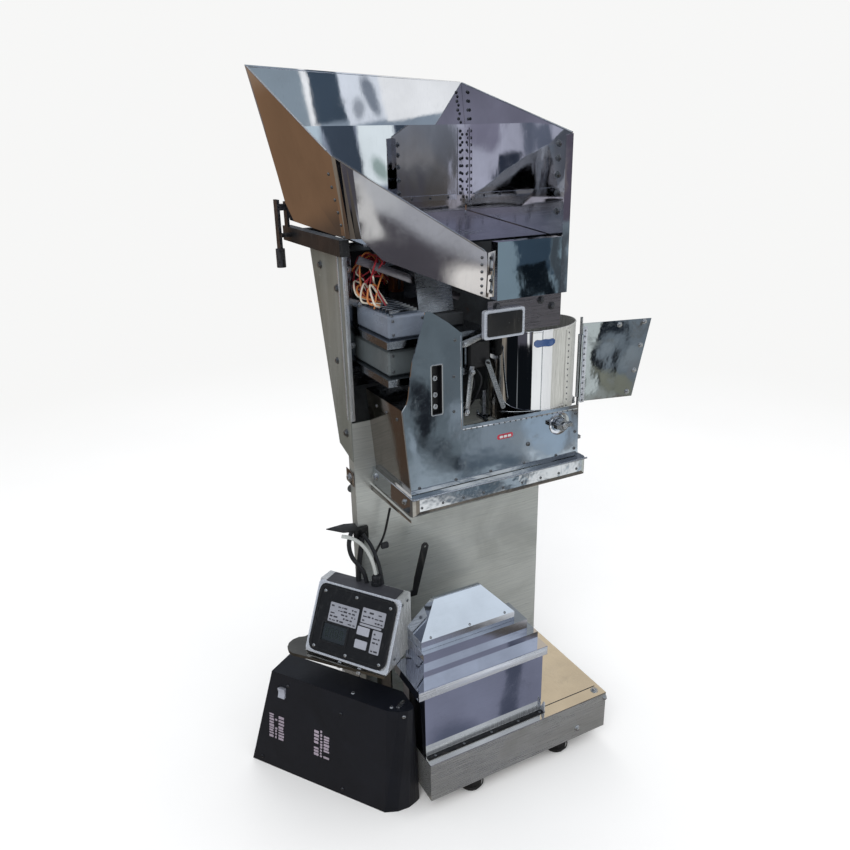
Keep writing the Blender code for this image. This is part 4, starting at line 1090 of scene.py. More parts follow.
# ------------------------------------------------------------------ head: sides and tray

plates("housing_edge_trim", [facing([(0, 0), (0.0085, 0), (0.0085, 0.298), (0, 0.298)],
                                    x=-0.1832, y=-0.0064, z=0.699, thick=-0.0012)],
       "bright_edge_sheet")
heads("housing_side_bolts", "hex",
      spots("housing_left_side", LEFT, 0.0052, [(-0.183, 0.0157, 0.6715)])
      + spots("housing_left_side", LEFT, 0.0048, [(-0.183, 0.020, 0.930),
                                                  (-0.183, 0.095, 0.960)])
      + spots("housing_left_side", LEFT, 0.0040, [(-0.183, 0.040, 0.800)]), washer=1.5)
plates("housing_side_rib", [
    sided([(-0.002, 0.700), (0.004, 0.700), (0.012, 0.985), (0.006, 0.985)],
          x=-0.1834, y=0.004, thick=-0.0010)], "bright_edge_sheet")
heads("housing_right_bolts", "hex", spots("housing_right_side", RIGHT, 0.0048, [
    (0.229, y, z) for y, z in ((0.030, 0.66), (0.030, 0.80), (0.030, 0.94),
                               (0.095, 0.72), (0.095, 0.94))]), washer=1.5)
plates("tray_bracket", [
    sided([(-0.166, 0.5645), (-0.004, 0.5600), (-0.004, 0.5690), (-0.166, 0.5690)],
          x=-0.1490, thick=-0.0016, bevel=0.0004),
    sided([(-0.003, 0.572), (0.030, 0.574), (0.030, 0.600), (-0.003, 0.600)],
          x=-0.1822, thick=-0.0014, bevel=0.0004)], "left_wall_sheet")
heads("tray_bracket_bolts", "hex", spots(None, LEFT, 0.0056, [(-0.1836, 0.013, 0.586)]),
      "screw_bright_steel", washer=1.5)
heads("tray_side_bolts", "hex",
      spots("bottom_tray", LEFT, 0.0062, [(-0.146, -0.0160, 0.5900)])
      + spots("bottom_tray", LEFT, 0.0036, [(-0.146, -0.135, 0.5900)]),
      "screw_bright_steel", washer=1.5)
heads("tray_front_screws", "pan", spots("bottom_tray", FRONT, 0.0024, [
    (-0.13 + 0.04 * k, -0.168, 0.5885) for k in range(9)]))
TRAY_CORNER = (-0.1462, -0.1676, 0.6052)
tubes("tray_lip_bead", [([TRAY_CORNER, (0.2135, -0.1676, 0.6052)], 0.0016),
                        ([TRAY_CORNER, (-0.1462, -0.010, 0.6052)], 0.0014)],
      "plinth_cap_sheet", sides=10, steps=2)
tubes("left_wall_edge_bead", [([(-0.1395, -0.1488, 0.612), (-0.1518, -0.1488, 0.755)], 0.0013)],
      "plinth_cap_sheet", sides=10, steps=2)
heads("left_wall_screws", "pan", spots("left_lower_wall", (-1, 0, -0.08), 0.0030, [
    (-0.148, y, 0.735) for y in (-0.125, -0.085, -0.045)]))

# ------------------------------------------------------------------ head: inside

plates("inner_braces", [
    facing([(-0.176, 0.905), (-0.030, 0.858), (-0.026, 0.868), (-0.172, 0.916)],
           y=-0.004, thick=-0.0024, bevel=0.0005),
    facing([(-0.170, 0.800), (-0.158, 0.800), (-0.158, 0.985), (-0.170, 0.985)],
           y=0.016, thick=-0.0024, bevel=0.0005)], "shelf_plate")
plates("pan_side_rail", [
    facing([(-0.176, 0.978), (0.010, 0.900), (0.016, 0.911), (-0.170, 0.990)],
           y=-0.0475, thick=0.0022, bevel=0.0005)], "under_plate_sheet")
heads("inner_bolts", "hex",
      spots(None, FRONT, 0.0046, [(-0.152, -0.0066, 0.9035), (-0.060, -0.0066, 0.8740)])
      + spots(None, FRONT, 0.0040, [(-0.164, 0.0134, 0.960), (-0.164, 0.0134, 0.830)]),
      "screw_bright_steel", washer=1.4)

# driver box with its heat sink, supply box with its terminal block
driver_low, driver_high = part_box("driver_box")
supply_low, supply_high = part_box("supply_box")
plates("driver_heat_sink", [
    facing(rounded(0.003, 0.0, 0.052, 0.0085, 0.0006, 2), x=driver_low.x + 0.004,
           y=driver_low.y + 0.010 + 0.0125 * k, z=driver_high.z - 0.0004,
           thick=-0.0016, bevel=0.0002) for k in range(9)], "shelf_plate")
plates("supply_terminals", [
    lying(rounded(0, 0, 0.012, 0.060, 0.001, 2), x=supply_low.x + 0.0059,
          y=supply_low.y + 0.020, z=supply_high.z - 0.0003, thick=0.0075, bevel=0.0004),
    lying(rounded(0, 0, 0.004, 0.060, 0.0005, 2), x=supply_low.x + 0.010,
          y=supply_low.y + 0.020, z=supply_high.z + 0.0068, thick=0.0030)], "solenoid_black")
heads("supply_terminal_screws", "pan", spots(None, UP, 0.0022, [
    (supply_low.x + 0.0082, supply_low.y + 0.026 + 0.008 * k, supply_high.z + 0.0070)
    for k in range(7)]), "screw_bright_steel")


def front_corners(low, high, inset_z):
    return [(x, low.y, z) for x in (low.x + 0.008, high.x - 0.008)
            for z in (low.z + inset_z, high.z - inset_z)]


heads("box_lid_screws", "pan",
      spots("driver_box", UP, 0.0026, [(driver_low.x + 0.008, y, driver_high.z)
                                       for y in (driver_low.y + 0.004, driver_high.y - 0.004)])
      + spots("driver_box", FRONT, 0.0024, front_corners(driver_low, driver_high, 0.007))
      + spots("supply_box", FRONT, 0.0024, front_corners(supply_low, supply_high, 0.008)))

# loose wires: fifteen long ones, then five short loops
wires = {"wire_red": [], "wire_orange": [], "wire_pale": []}
WIRE_ORDER = ("wire_red", "wire_red", "wire_orange", "wire_pale", "wire_red")
stray = random.Random(5).uniform
for k in range(15):
    y = -0.045 + 0.0058 * k
    wires[WIRE_ORDER[k % 5]].append(([
        (-0.150 + stray(0, 0.03), y - 0.02, 0.9035),
        (-0.165 + stray(0, 0.03), y + stray(-0.02, 0.02), 0.930 + stray(0, 0.02)),
        (-0.155 + stray(0, 0.035), y + stray(-0.03, 0.01), 0.965 + stray(-0.01, 0.014)),
        (-0.120 + stray(-0.01, 0.02), 0.020 + stray(-0.02, 0.02),
         0.975 + stray(-0.012, 0.008)),
        (-0.080 + stray(-0.006, 0.003), 0.0445 + stray(-0.006, 0.006),
         0.930 + stray(-0.01, 0.01))], 0.00145))
for k in range(5):
    y = -0.075 + 0.012 * k
    shift = [stray(-0.008, 0.008) for _ in range(6)]
    wires["wire_orange" if k % 2 else "wire_pale"].append(([
        (-0.150 + 0.006 * k, y, 0.9105),
        (-0.166 + shift[0], y + shift[1], 0.924 + shift[2]),
        (-0.156 + shift[3], y + 0.018 + shift[4], 0.944 + shift[5]),
        (-0.142 + shift[1], y + 0.030 + shift[2], 0.936 + shift[0]),
        (-0.128, y + 0.034, 0.9095)], 0.0016))
red_wires = tubes("wires_red", wires["wire_red"], "wire_red", sides=8, steps=7)
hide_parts("drive_wires")
tubes("wires_orange", wires["wire_orange"], "wire_orange", sides=8, steps=7)
tubes("wires_pale", wires["wire_pale"], "wire_pale", sides=8, steps=7)

# behind the window: two wires, links and a coil spring
tubes("window_wires", [
    ([(0.000, -0.118, 0.800), (0.010, -0.126, 0.780), (0.004, -0.120, 0.748),
      (-0.010, -0.100, 0.715), (-0.016, -0.070, 0.700)], 0.0018),
    ([(-0.008, -0.112, 0.800), (-0.002, -0.122, 0.770), (-0.014, -0.112, 0.735),
      (-0.020, -0.090, 0.706)], 0.0018)], "hose_black", sides=8)
plates("window_link", [
    facing([(-0.030, 0.722), (-0.021, 0.720), (-0.010, 0.806), (-0.019, 0.808)],
           y=-0.137, thick=-0.0020, bevel=0.0005),
    facing([(-0.036, 0.842), (-0.026, 0.842), (0.020, 0.858), (0.020, 0.866),
            (-0.036, 0.852)], y=-0.139, thick=-0.0020, bevel=0.0005)], "plated_steel")
heads("window_link_bolts", "hex",
      spots(None, FRONT, 0.0040, [(-0.0255, -0.139, 0.729), (-0.0150, -0.139, 0.797)])
      + spots(None, FRONT, 0.0036, [(-0.030, -0.141, 0.847)]), "screw_bright_steel")
COIL_RADIUS, COIL_STEP, COIL_RISE = 0.0032, 1.2566, 0.00042     # step in radians, rise per step
tubes("window_spring", [([(0.012 + COIL_RADIUS * math.cos(k * COIL_STEP),
                           -0.132 + COIL_RADIUS * math.sin(k * COIL_STEP),
                           0.716 + COIL_RISE * k) for k in range(106)], 0.0005)],
      "plated_steel", sides=6, steps=1)

# ------------------------------------------------------------------ side door and vents

# leaf, rivets and bolts turn with the door
DOOR_BOLTS = ((0.3915, 0.8255), (0.3860, 0.780), (0.3745, 0.7317), (0.3600, 0.690),
              (0.3300, 0.8270))
heads("side_door_rivets", "rivet", spots("side_door", FRONT, 0.0020, [
    (0.2490, -0.101, 0.692 + RIVET_PITCH * k) for k in range(13)]), body="guard_door")
plates("side_door_leaf", [facing(rounded(0.2445, 0.687, 0.2545, 0.834, 0.0015, 2),
                                 y=-0.1011, thick=-0.0008, bevel=0.0002)],
       "bright_band_sheet", "guard_door")
heads("side_door_bolts", "hex", spots("side_door", FRONT, 0.0036, [
    (x, -0.101, z) for x, z in DOOR_BOLTS]), "screw_bright_steel", "guard_door", washer=1.5)
heads("side_door_nuts", "hex", spots("side_door", BACK, 0.0034, [
    (x, -0.099, z) for x, z in DOOR_BOLTS]), body="guard_door", washer=1.5)

# dark liner behind the vent slots: a thin sloping slab, gently waved
liner = bmesh.new()
corners = []
for x in (-0.172, 0.218):
    for z in (0.662, 0.972):
        y = 0.0705 + 0.2573 * (z - 0.7118) - 0.0040
        corners += [liner.verts.new((x, y, z)), liner.verts.new((x, y - 0.0012, z))]
for face in ((0, 2, 6, 4), (1, 5, 7, 3), (0, 1, 3, 2), (4, 6, 7, 5), (0, 4, 5, 1),
             (2, 3, 7, 6)):
    liner.faces.new([corners[k] for k in face])
bmesh.ops.recalc_face_normals(liner, faces=liner.faces)
bmesh.ops.bevel(liner, geom=list(liner.edges), offset=0.0003, segments=1, affect="EDGES")
long_edges = [edge for edge in liner.edges if edge.calc_length() > 0.2]
bmesh.ops.subdivide_edges(liner, edges=long_edges, cuts=12, use_grid_fill=True)
for vert in liner.verts:
    vert.co.y += 0.0008 * math.sin(vert.co.x * 70) * math.sin(vert.co.z * 60)
piece("vent_liner", liner, "drive_iron")

heads("rear_cover_screws", "pan", spots("rear_cover", (0, 1, 0.1), 0.0036, [
    (x, 0.14, z) for x in (-0.165, 0.023, 0.211) for z in (0.66, 0.82, 0.965)]), washer=1.5)
heads("column_rear_bolts", "hex", spots("column_plate", BACK, 0.0055, [
    (x, 0.05, z) for x in (-0.165, 0.212) for z in (0.16, 0.36, 0.56)]), washer=1.5)
plates("slot_backing", [facing(rounded(0.0065, 0.8555, 0.0745, 0.8945, 0.003, 3),
                               y=-0.1494, thick=0.0012)], "bar_enamel")

# ------------------------------------------------------------------ plinth and base

plates("plinth_band", [facing(rounded(-0.1700, 0.2446, 0.1030, 0.2620, 0.0015, 3),
                              y=-0.2181, thick=-0.0008)], "bright_band_sheet")
plates("plinth_foot", [facing(rounded(-0.1560, 0.1130, 0.0970, 0.1268, 0.001, 2),
                              y=-0.2121, thick=-0.0012)], "bright_edge_sheet")
plates("plinth_foot_gasket", [lying(rounded(-0.1560, -0.2222, 0.1010, -0.2134, 0.001, 2),
                                    z=0.1125, thick=0.0012)], "bar_enamel")
plates("plinth_end_bracket", [
    sided([(0, 0), (0.012, 0), (0.012, 0.006), (0.004, 0.024), (0, 0.024)],
          x=0.0972, y=-0.2230, z=0.1126, thick=0.0016)], "bright_band_sheet")
heads("plinth_foot_screws", "pan", spots(None, UP, 0.0026, [
    (x, -0.2182, 0.1139) for x in (-0.14, -0.08, -0.02, 0.04, 0.09)]))
tubes("plinth_cap_bead", [([(-0.0950, -0.1386, 0.3853), (0.0025, -0.1386, 0.3853)], 0.0013)],
      "plinth_cap_sheet", sides=10, steps=2)
heads("plinth_cap_screws", "pan", spots("plinth_cap", (0, -0.74, 0.67), 0.0024, [
    (x, -0.176, 0.335) for x in (-0.125, -0.045, 0.030)]), "screw_bright_steel")
plates("deck_seam", [lying(rounded(0.1030, -0.2095, 0.2330, -0.2080, 0.0005, 2),
                           z=0.1124, thick=0.0004, bevel=0)], "screw_dark_steel")
heads("deck_bolts", "hex", spots("base_top_plate", UP, 0.0046, [
    (0.2240, -0.2190, 0.1123), (0.2250, 0.2190, 0.1123), (-0.1430, 0.2190, 0.1123)]),
    "screw_bright_steel", washer=1.7)
heads("skirt_bolts", "hex",
      spots("base_skirt", FRONT, 0.0046, [(0.1719, -0.235, 0.0520)])
      + spots("base_skirt", FRONT, 0.0036, [(0.2380, -0.235, 0.1000)])
      + spots("base_skirt", RIGHT, 0.0046, [(0.241, -0.21, 0.0700), (0.241, 0.21, 0.0700)]),
      "screw_bright_steel", washer=1.5)

# each foot gets a nut above it and a rib round it
for foot in FINISHES["foot_rubber_mix"].split():
    low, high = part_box(foot)
    centre = (low + high) / 2
    radius = (high.x - low.x) / 2
    piece(foot + "_nut", ring_stack(([], []), [
        (0.0085, 0.0), (0.0085, 0.0012), (hexagon(0.0068), 0.0014), (hexagon(0.0068), 0.0062),
        (0.0045, 0.0066), (0.0045, 0.0140)], 24, Vector((centre.x, centre.y, 0.0296))),
        "screw_steel", smooth=35)
    piece(foot + "_rib", ring_stack(([], []), [
        (radius + 0.0004, 0.0065), (radius + 0.0012, 0.0075), (radius + 0.0012, 0.0095),
        (radius + 0.0004, 0.0105), (radius - 0.0010, 0.0085)], 36,
        Vector((centre.x, centre.y, 0.0)), looped=True), "foot_rubber_mix", smooth=35)

# ------------------------------------------------------------------ control case

# the case stands turned: its width runs to the front right, its depth to the back right
CASE_X, CASE_Y = -0.2978, -0.0106
CASE_WIDTH, CASE_DEPTH = Vector((0.574, -0.819, 0)), Vector((0.819, 0.574, 0))
PANEL_LEAN = math.radians(61.6)     # from level
PANEL_UP = CASE_DEPTH * math.cos(PANEL_LEAN) + Vector(UP) * math.sin(PANEL_LEAN)
PANEL_OUT = CASE_WIDTH.cross(PANEL_UP).normalized()
PANEL_ORIGIN = Vector((CASE_X, CASE_Y, 0.2649))
PANEL_FACE = 0.0040                 # height of the panel's face above its origin


def on_panel(x, y, height=PANEL_FACE):
    return PANEL_ORIGIN + CASE_WIDTH * x + PANEL_UP * y + PANEL_OUT * height


def panel_plate(outline, thick, height=PANEL_FACE, bevel=EASE, holes=()):
    return plate(outline, on_panel(0, 0, height), CASE_WIDTH, PANEL_UP, thick, bevel, holes)


plates("panel_bezel", [panel_plate(rounded(-0.0045, 0.0005, 0.1735, 0.1350, 0.008, 6),
                                   height=0.0012, thick=0.0026, bevel=0.0006,
                                   holes=[rounded(0.0008, 0.0055, 0.1682, 0.1300, 0.012, 6)])],
       "bright_band_sheet")
plates("panel_corner_rim", [
    panel_plate(rounded(0.0030, 0.0080, 0.1660, 0.1275, 0.014, 6), thick=0.0012, bevel=0.0004,
                holes=[rounded(0.0065, 0.0115, 0.1625, 0.1240, 0.011, 6)])], "panel_black")

# printed fields: left, bottom, right, top on the panel
LEFT_FIELD = (0.0305, 0.0640, 0.0925, 0.1000)
TOP_FIELD = (0.0990, 0.0790, 0.1480, 0.1060)
STRIP_FIELD = (0.0985, 0.0735, 0.1440, 0.0775)
SIDE_FIELD = (0.1280, 0.0300, 0.1480, 0.0715)


def field(box, radius=0.002):
    return panel_plate(rounded(*box, radius), thick=0.0006, bevel=0.0001)


plates("panel_label_left", [field(LEFT_FIELD)], "panel_print_pale")
plates("panel_label_right", [field(TOP_FIELD), field(STRIP_FIELD, 0.001), field(SIDE_FIELD)],
       "panel_print_pale")

# rows of dashes stand in for lettering
print_dice = random.Random(3)
marks = []
for left, bottom, right, top in (LEFT_FIELD, TOP_FIELD, SIDE_FIELD):
    rows = int((top - bottom) / 0.0070)
    for j in range(rows):
        y = bottom + 0.0030 + j * (top - bottom - 0.004) / rows
        x = left + 0.0030
        while x < right - 0.0060:
            width = min(print_dice.uniform(0.0025, 0.0090), right - 0.0030 - x)
            if print_dice.random() < 0.72:
                height = print_dice.uniform(0.0018, 0.0032)
                marks.append(panel_plate(rounded(x, y, x + width, y + height, 0.0006, 2),
                                         height=0.0046, thick=0.00018, bevel=0))
            x += width + print_dice.uniform(0.0014, 0.0032)
plates("panel_print", marks, "panel_print_dark")

plates("display_frame", [panel_plate(rounded(0.0215, 0.0240, 0.0800, 0.0630, 0.002),
                                     thick=0.0014, bevel=0.0004,
                                     holes=[rounded(0.0250, 0.0280, 0.0760, 0.0600, 0.001)])],
       "panel_black")
DIGITS, DIGIT_PITCH = 4, 0.0102
# the seven bars of a digit: left, bottom, right, top
DIGIT_BARS = (
    (0.0006, 0, 0.0052, 0.0009), (0.0006, 0.0078, 0.0052, 0.0087),
    (0.0006, 0.0156, 0.0052, 0.0165), (0, 0.0010, 0.0009, 0.0076),
    (0.0050, 0.0010, 0.0059, 0.0076), (0, 0.0088, 0.0009, 0.0155),
    (0.0050, 0.0088, 0.0059, 0.0155))
bars = []
for k in range(DIGITS):
    x, y = 0.0318 + DIGIT_PITCH * k, 0.0358
    for left, bottom, right, top in DIGIT_BARS:
        bars.append(panel_plate([(x + left, y + bottom), (x + right, y + bottom),
                                 (x + right, y + top), (x + left, y + top)],
                                height=0.0044, thick=0.00012, bevel=0))
plates("display_segments", bars, "display_segment")
heads("panel_screws", "pan", spots(None, PANEL_OUT, 0.0034, [
    on_panel(x, y) for x, y in ((0.0143, 0.1165), (0.082, 0.1190), (0.1540, 0.1165),
                                (0.013, 0.0135), (0.0826, 0.0125), (0.1530, 0.0147))]),
    "screw_bright_steel")
plates("key_collars", [
    panel_plate(rounded(0.0945, y, 0.1235, y + 0.0190, 0.003), thick=0.0008, bevel=0.0002,
                holes=[rounded(0.0955, y + 0.0010, 0.1225, y + 0.0180, 0.0025)])
    for y in (0.0305, 0.0545)], "panel_black")
plates("case_clips", [
    panel_plate(rounded(x, y, x + 0.0070, -0.0010, 0.001, 2), height=-0.0030, thick=0.0050,
                bevel=0.0005) for x, y in ((0.0690, -0.0130), (0.1110, -0.0140))],
    "screw_bright_steel")
heads("case_side_screws", "pan", spots("controller_case", CASE_WIDTH, 0.0030, [
    Vector((CASE_X, CASE_Y, 0)) + CASE_WIDTH * 0.171 + CASE_DEPTH * depth + Vector((0, 0, z))
    for depth, z in ((0.030, 0.280), (0.085, 0.280), (0.085, 0.372), (0.066, 0.372))]))
piece("cable_gland", ring_stack(([], []), [
    (0.0105, 0.0), (0.0105, 0.0014), (hexagon(0.0098), 0.0016), (hexagon(0.0098), 0.0080),
    (0.0082, 0.0084), (0.0082, 0.0120), (hexagon(0.0088), 0.0122), (hexagon(0.0088), 0.0180),
    (0.0066, 0.0205), (0.0048, 0.0215)], 24, Vector((-0.166, -0.0453, 0.3850))),
    "hose_black", smooth=35)
plates("case_top_plate", [plate(rounded(0.010, 0.060, 0.160, 0.0925, 0.003),
                                (CASE_X, CASE_Y, 0.3851), CASE_WIDTH, CASE_DEPTH,
                                thick=0.0012)], "case_top_grey")
plates("hook_plate", [
    lying([(-0.2352, 0.018), (-0.2120, -0.010), (-0.1900, -0.0180), (-0.1620, -0.0075),
           (-0.1740, 0.0110), (-0.2000, 0.0200)], z=0.4895, thick=0.0022, bevel=0.0006),
    facing(rounded(-0.1900, 0.462, -0.1600, 0.4895, 0.003), y=-0.0052, thick=-0.0020,
           bevel=0.0005)], "bar_enamel")
tubes("case_hoses", [
    ([(-0.1790, -0.030, 0.386), (-0.1850, -0.028, 0.412), (-0.2010, -0.020, 0.440),
      (-0.2040, -0.014, 0.465), (-0.1960, -0.010, 0.4890)], 0.0042),
    ([(-0.1560, -0.050, 0.386), (-0.1570, -0.040, 0.420), (-0.1640, -0.026, 0.455),
      (-0.1760, -0.014, 0.4800)], 0.0036),
    ([(-0.1900, -0.016, 0.386), (-0.1860, -0.014, 0.420), (-0.1790, -0.012, 0.455),
      (-0.1760, -0.010, 0.4720)], 0.0050)], "hose_black")
tubes("thin_rod", [([(-0.1600, -0.030, 0.386), (-0.1600, -0.030, 0.4369),
                     (-0.1400, -0.030, 0.4755), (-0.1256, -0.030, 0.5275)], 0.0022)],
      "bar_enamel", sides=10)
plates("rod_clip", [facing(rounded(-0.1500, 0.4520, -0.1350, 0.4640, 0.003), y=-0.0345,
                           thick=0.0050, bevel=0.0008)], "hose_black")
tubes("mains_lead", [([(-0.170, 0.030, 0.150), (-0.150, 0.060, 0.160), (-0.150, 0.085, 0.100),
                       (-0.175, 0.100, 0.030), (-0.195, 0.095, 0.008)], 0.0042)],
      "hose_black")

# ------------------------------------------------------------------ cabinet

CABINET_OUT = Vector((-0.8086, -0.5690, 0.1497)).normalized()
CABINET_ACROSS = CASE_WIDTH.normalized()
CABINET_UP = CABINET_OUT.cross(CABINET_ACROSS).normalized()
CABINET_ORIGIN = snap("cabinet_shell", (-0.3666, 0.0243, 0.0913), CABINET_OUT)[0]

# two labels of blocks in three columns: left, bottom, height of each label
labels = []
for left, bottom, tall in ((-0.0130, -0.0280, 0.0540), (0.0930, -0.0300, 0.0560)):
    for start, end in ((0.0, 0.012), (0.014, 0.020), (0.022, 0.036)):
        y = bottom
        while y < bottom + tall - 0.003:
            height = print_dice.uniform(0.0030, 0.0058)
            if print_dice.random() < 0.86:
                right = left + end - print_dice.uniform(0.0008, 0.003)
                labels.append(plate(rounded(left + start, y, right, y + height, 0.0008, 2),
                                    CABINET_ORIGIN + CABINET_OUT * 0.0002, CABINET_ACROSS,
                                    CABINET_UP, thick=0.00035, bevel=0))
            y += height + print_dice.uniform(0.0014, 0.0026)
plates("cabinet_labels", labels, "decal_grey")
heads("cabinet_screws", "pan", spots("cabinet_shell", CABINET_OUT, 0.0034, [
    CABINET_ORIGIN + CABINET_ACROSS * x + CABINET_UP * y
    for x, y in ((0.151, 0.076), (0.030, 0.094), (-0.030, -0.080), (0.160, -0.080))]),
    "screw_dark_steel")
heads("cabinet_corner_screws", "pan",
      spots("cabinet_shell", (-0.3, -0.95, 0.11), 0.0036, [(-0.1848, -0.1851, 0.1940)])
      + spots("cabinet_shell", UP, 0.0036, [(-0.1990, -0.1640, 0.2050),
                                            (-0.2450, -0.0950, 0.2050)]),
      "screw_bright_steel")
plates("cabinet_catch", [
    plate(rounded(-0.011, -0.004, 0.011, 0.004, 0.0015), (-0.1815, -0.1660, 0.2051),
          (0.85, 0.52, 0), (-0.52, 0.85, 0), thick=0.0024, bevel=0.0005)],
    "screw_bright_steel")

# ------------------------------------------------------------------ room, seen only in reflections

BACKDROP = (0.93, 0.93, 0.925, 1)
world = bpy.data.worlds.new("studio")
bpy.context.scene.world = world
world.use_nodes = True
net = Net(world.node_tree)
direction = net.coord("Generated")
east, north, height = net.split(direction)
# azimuth from -Y towards +X, and elevation, in degrees
heading = net.math("ARCTAN2", east, net.math("MULTIPLY", north, -1.0))
azimuth = net.math("MULTIPLY", heading, 180 / math.pi)
elevation = net.math("MULTIPLY", net.math("ARCSINE", height), 180 / math.pi)
combined = net.new("CombineXYZ")
net.put(combined.inputs[0], azimuth)
net.put(combined.inputs[1], elevation)
# a small wobble softens the outlines of the patches
wobble = net.vmath("SUBTRACT", net.noise(direction, scale=14.0, detail=2.0, output="Color"),
                   (0.5, 0.5, 0.5))
aim = net.vmath("ADD", combined.outputs[0], net.vmath("MULTIPLY", wobble, (0.7, 0.7, 0.0)))

# soft blotches: upper half lighter, lower half darker, with a few bright lamps
upper = net.ramp(net.noise(direction, scale=2.3, rough=0.55, warp=0.8), [
    (0.30, "20242b"), (0.43, "565c68"), (0.50, "8d939c"), (0.58, "c9ced4"), (0.70, "f4f6f8")])
lower = net.ramp(net.noise(direction, scale=3.1, rough=0.55, warp=0.6), [
    (0.34, "2c2b2d"), (0.47, "5c5854"), (0.56, "8d8479"), (0.68, "c6c0b6")])
sky = net.mix(net.span(elevation, over=(-4.0, 3.0), smooth=True), lower, upper)
lamp = net.span(net.noise(net.mapped(direction, scale=(1, 1, 2.6)),
                          scale=5.5, detail=1.0, rough=0.4), over=(0.66, 0.70), smooth=True)
sky = net.mix(net.math("MULTIPLY", lamp, net.span(elevation, over=(5.0, 30.0))),
              sky, (1.9, 1.95, 2.0, 1.0))


def patch(base, turn, rise, half_width, half_height, code, tilt, soft, is_oval=False):
    """Lays a coloured area of the room over the base."""
    place = net.mapped(aim, (turn, rise, 0), (0, 0, math.radians(tilt)),
                       (half_width, half_height, 1.0), "TEXTURE")
    if is_oval:
        distance = net.vmath("LENGTH", place, output="Value")
    else:
        sides = net.split(net.vmath("ABSOLUTE", place))
        distance = net.math("MAXIMUM", sides[0], sides[1])
    inside = net.span(distance, over=(1.0 + soft, 1.0 - soft), smooth=True)
    return net.mix(inside, base, colour(code))


OVAL = True
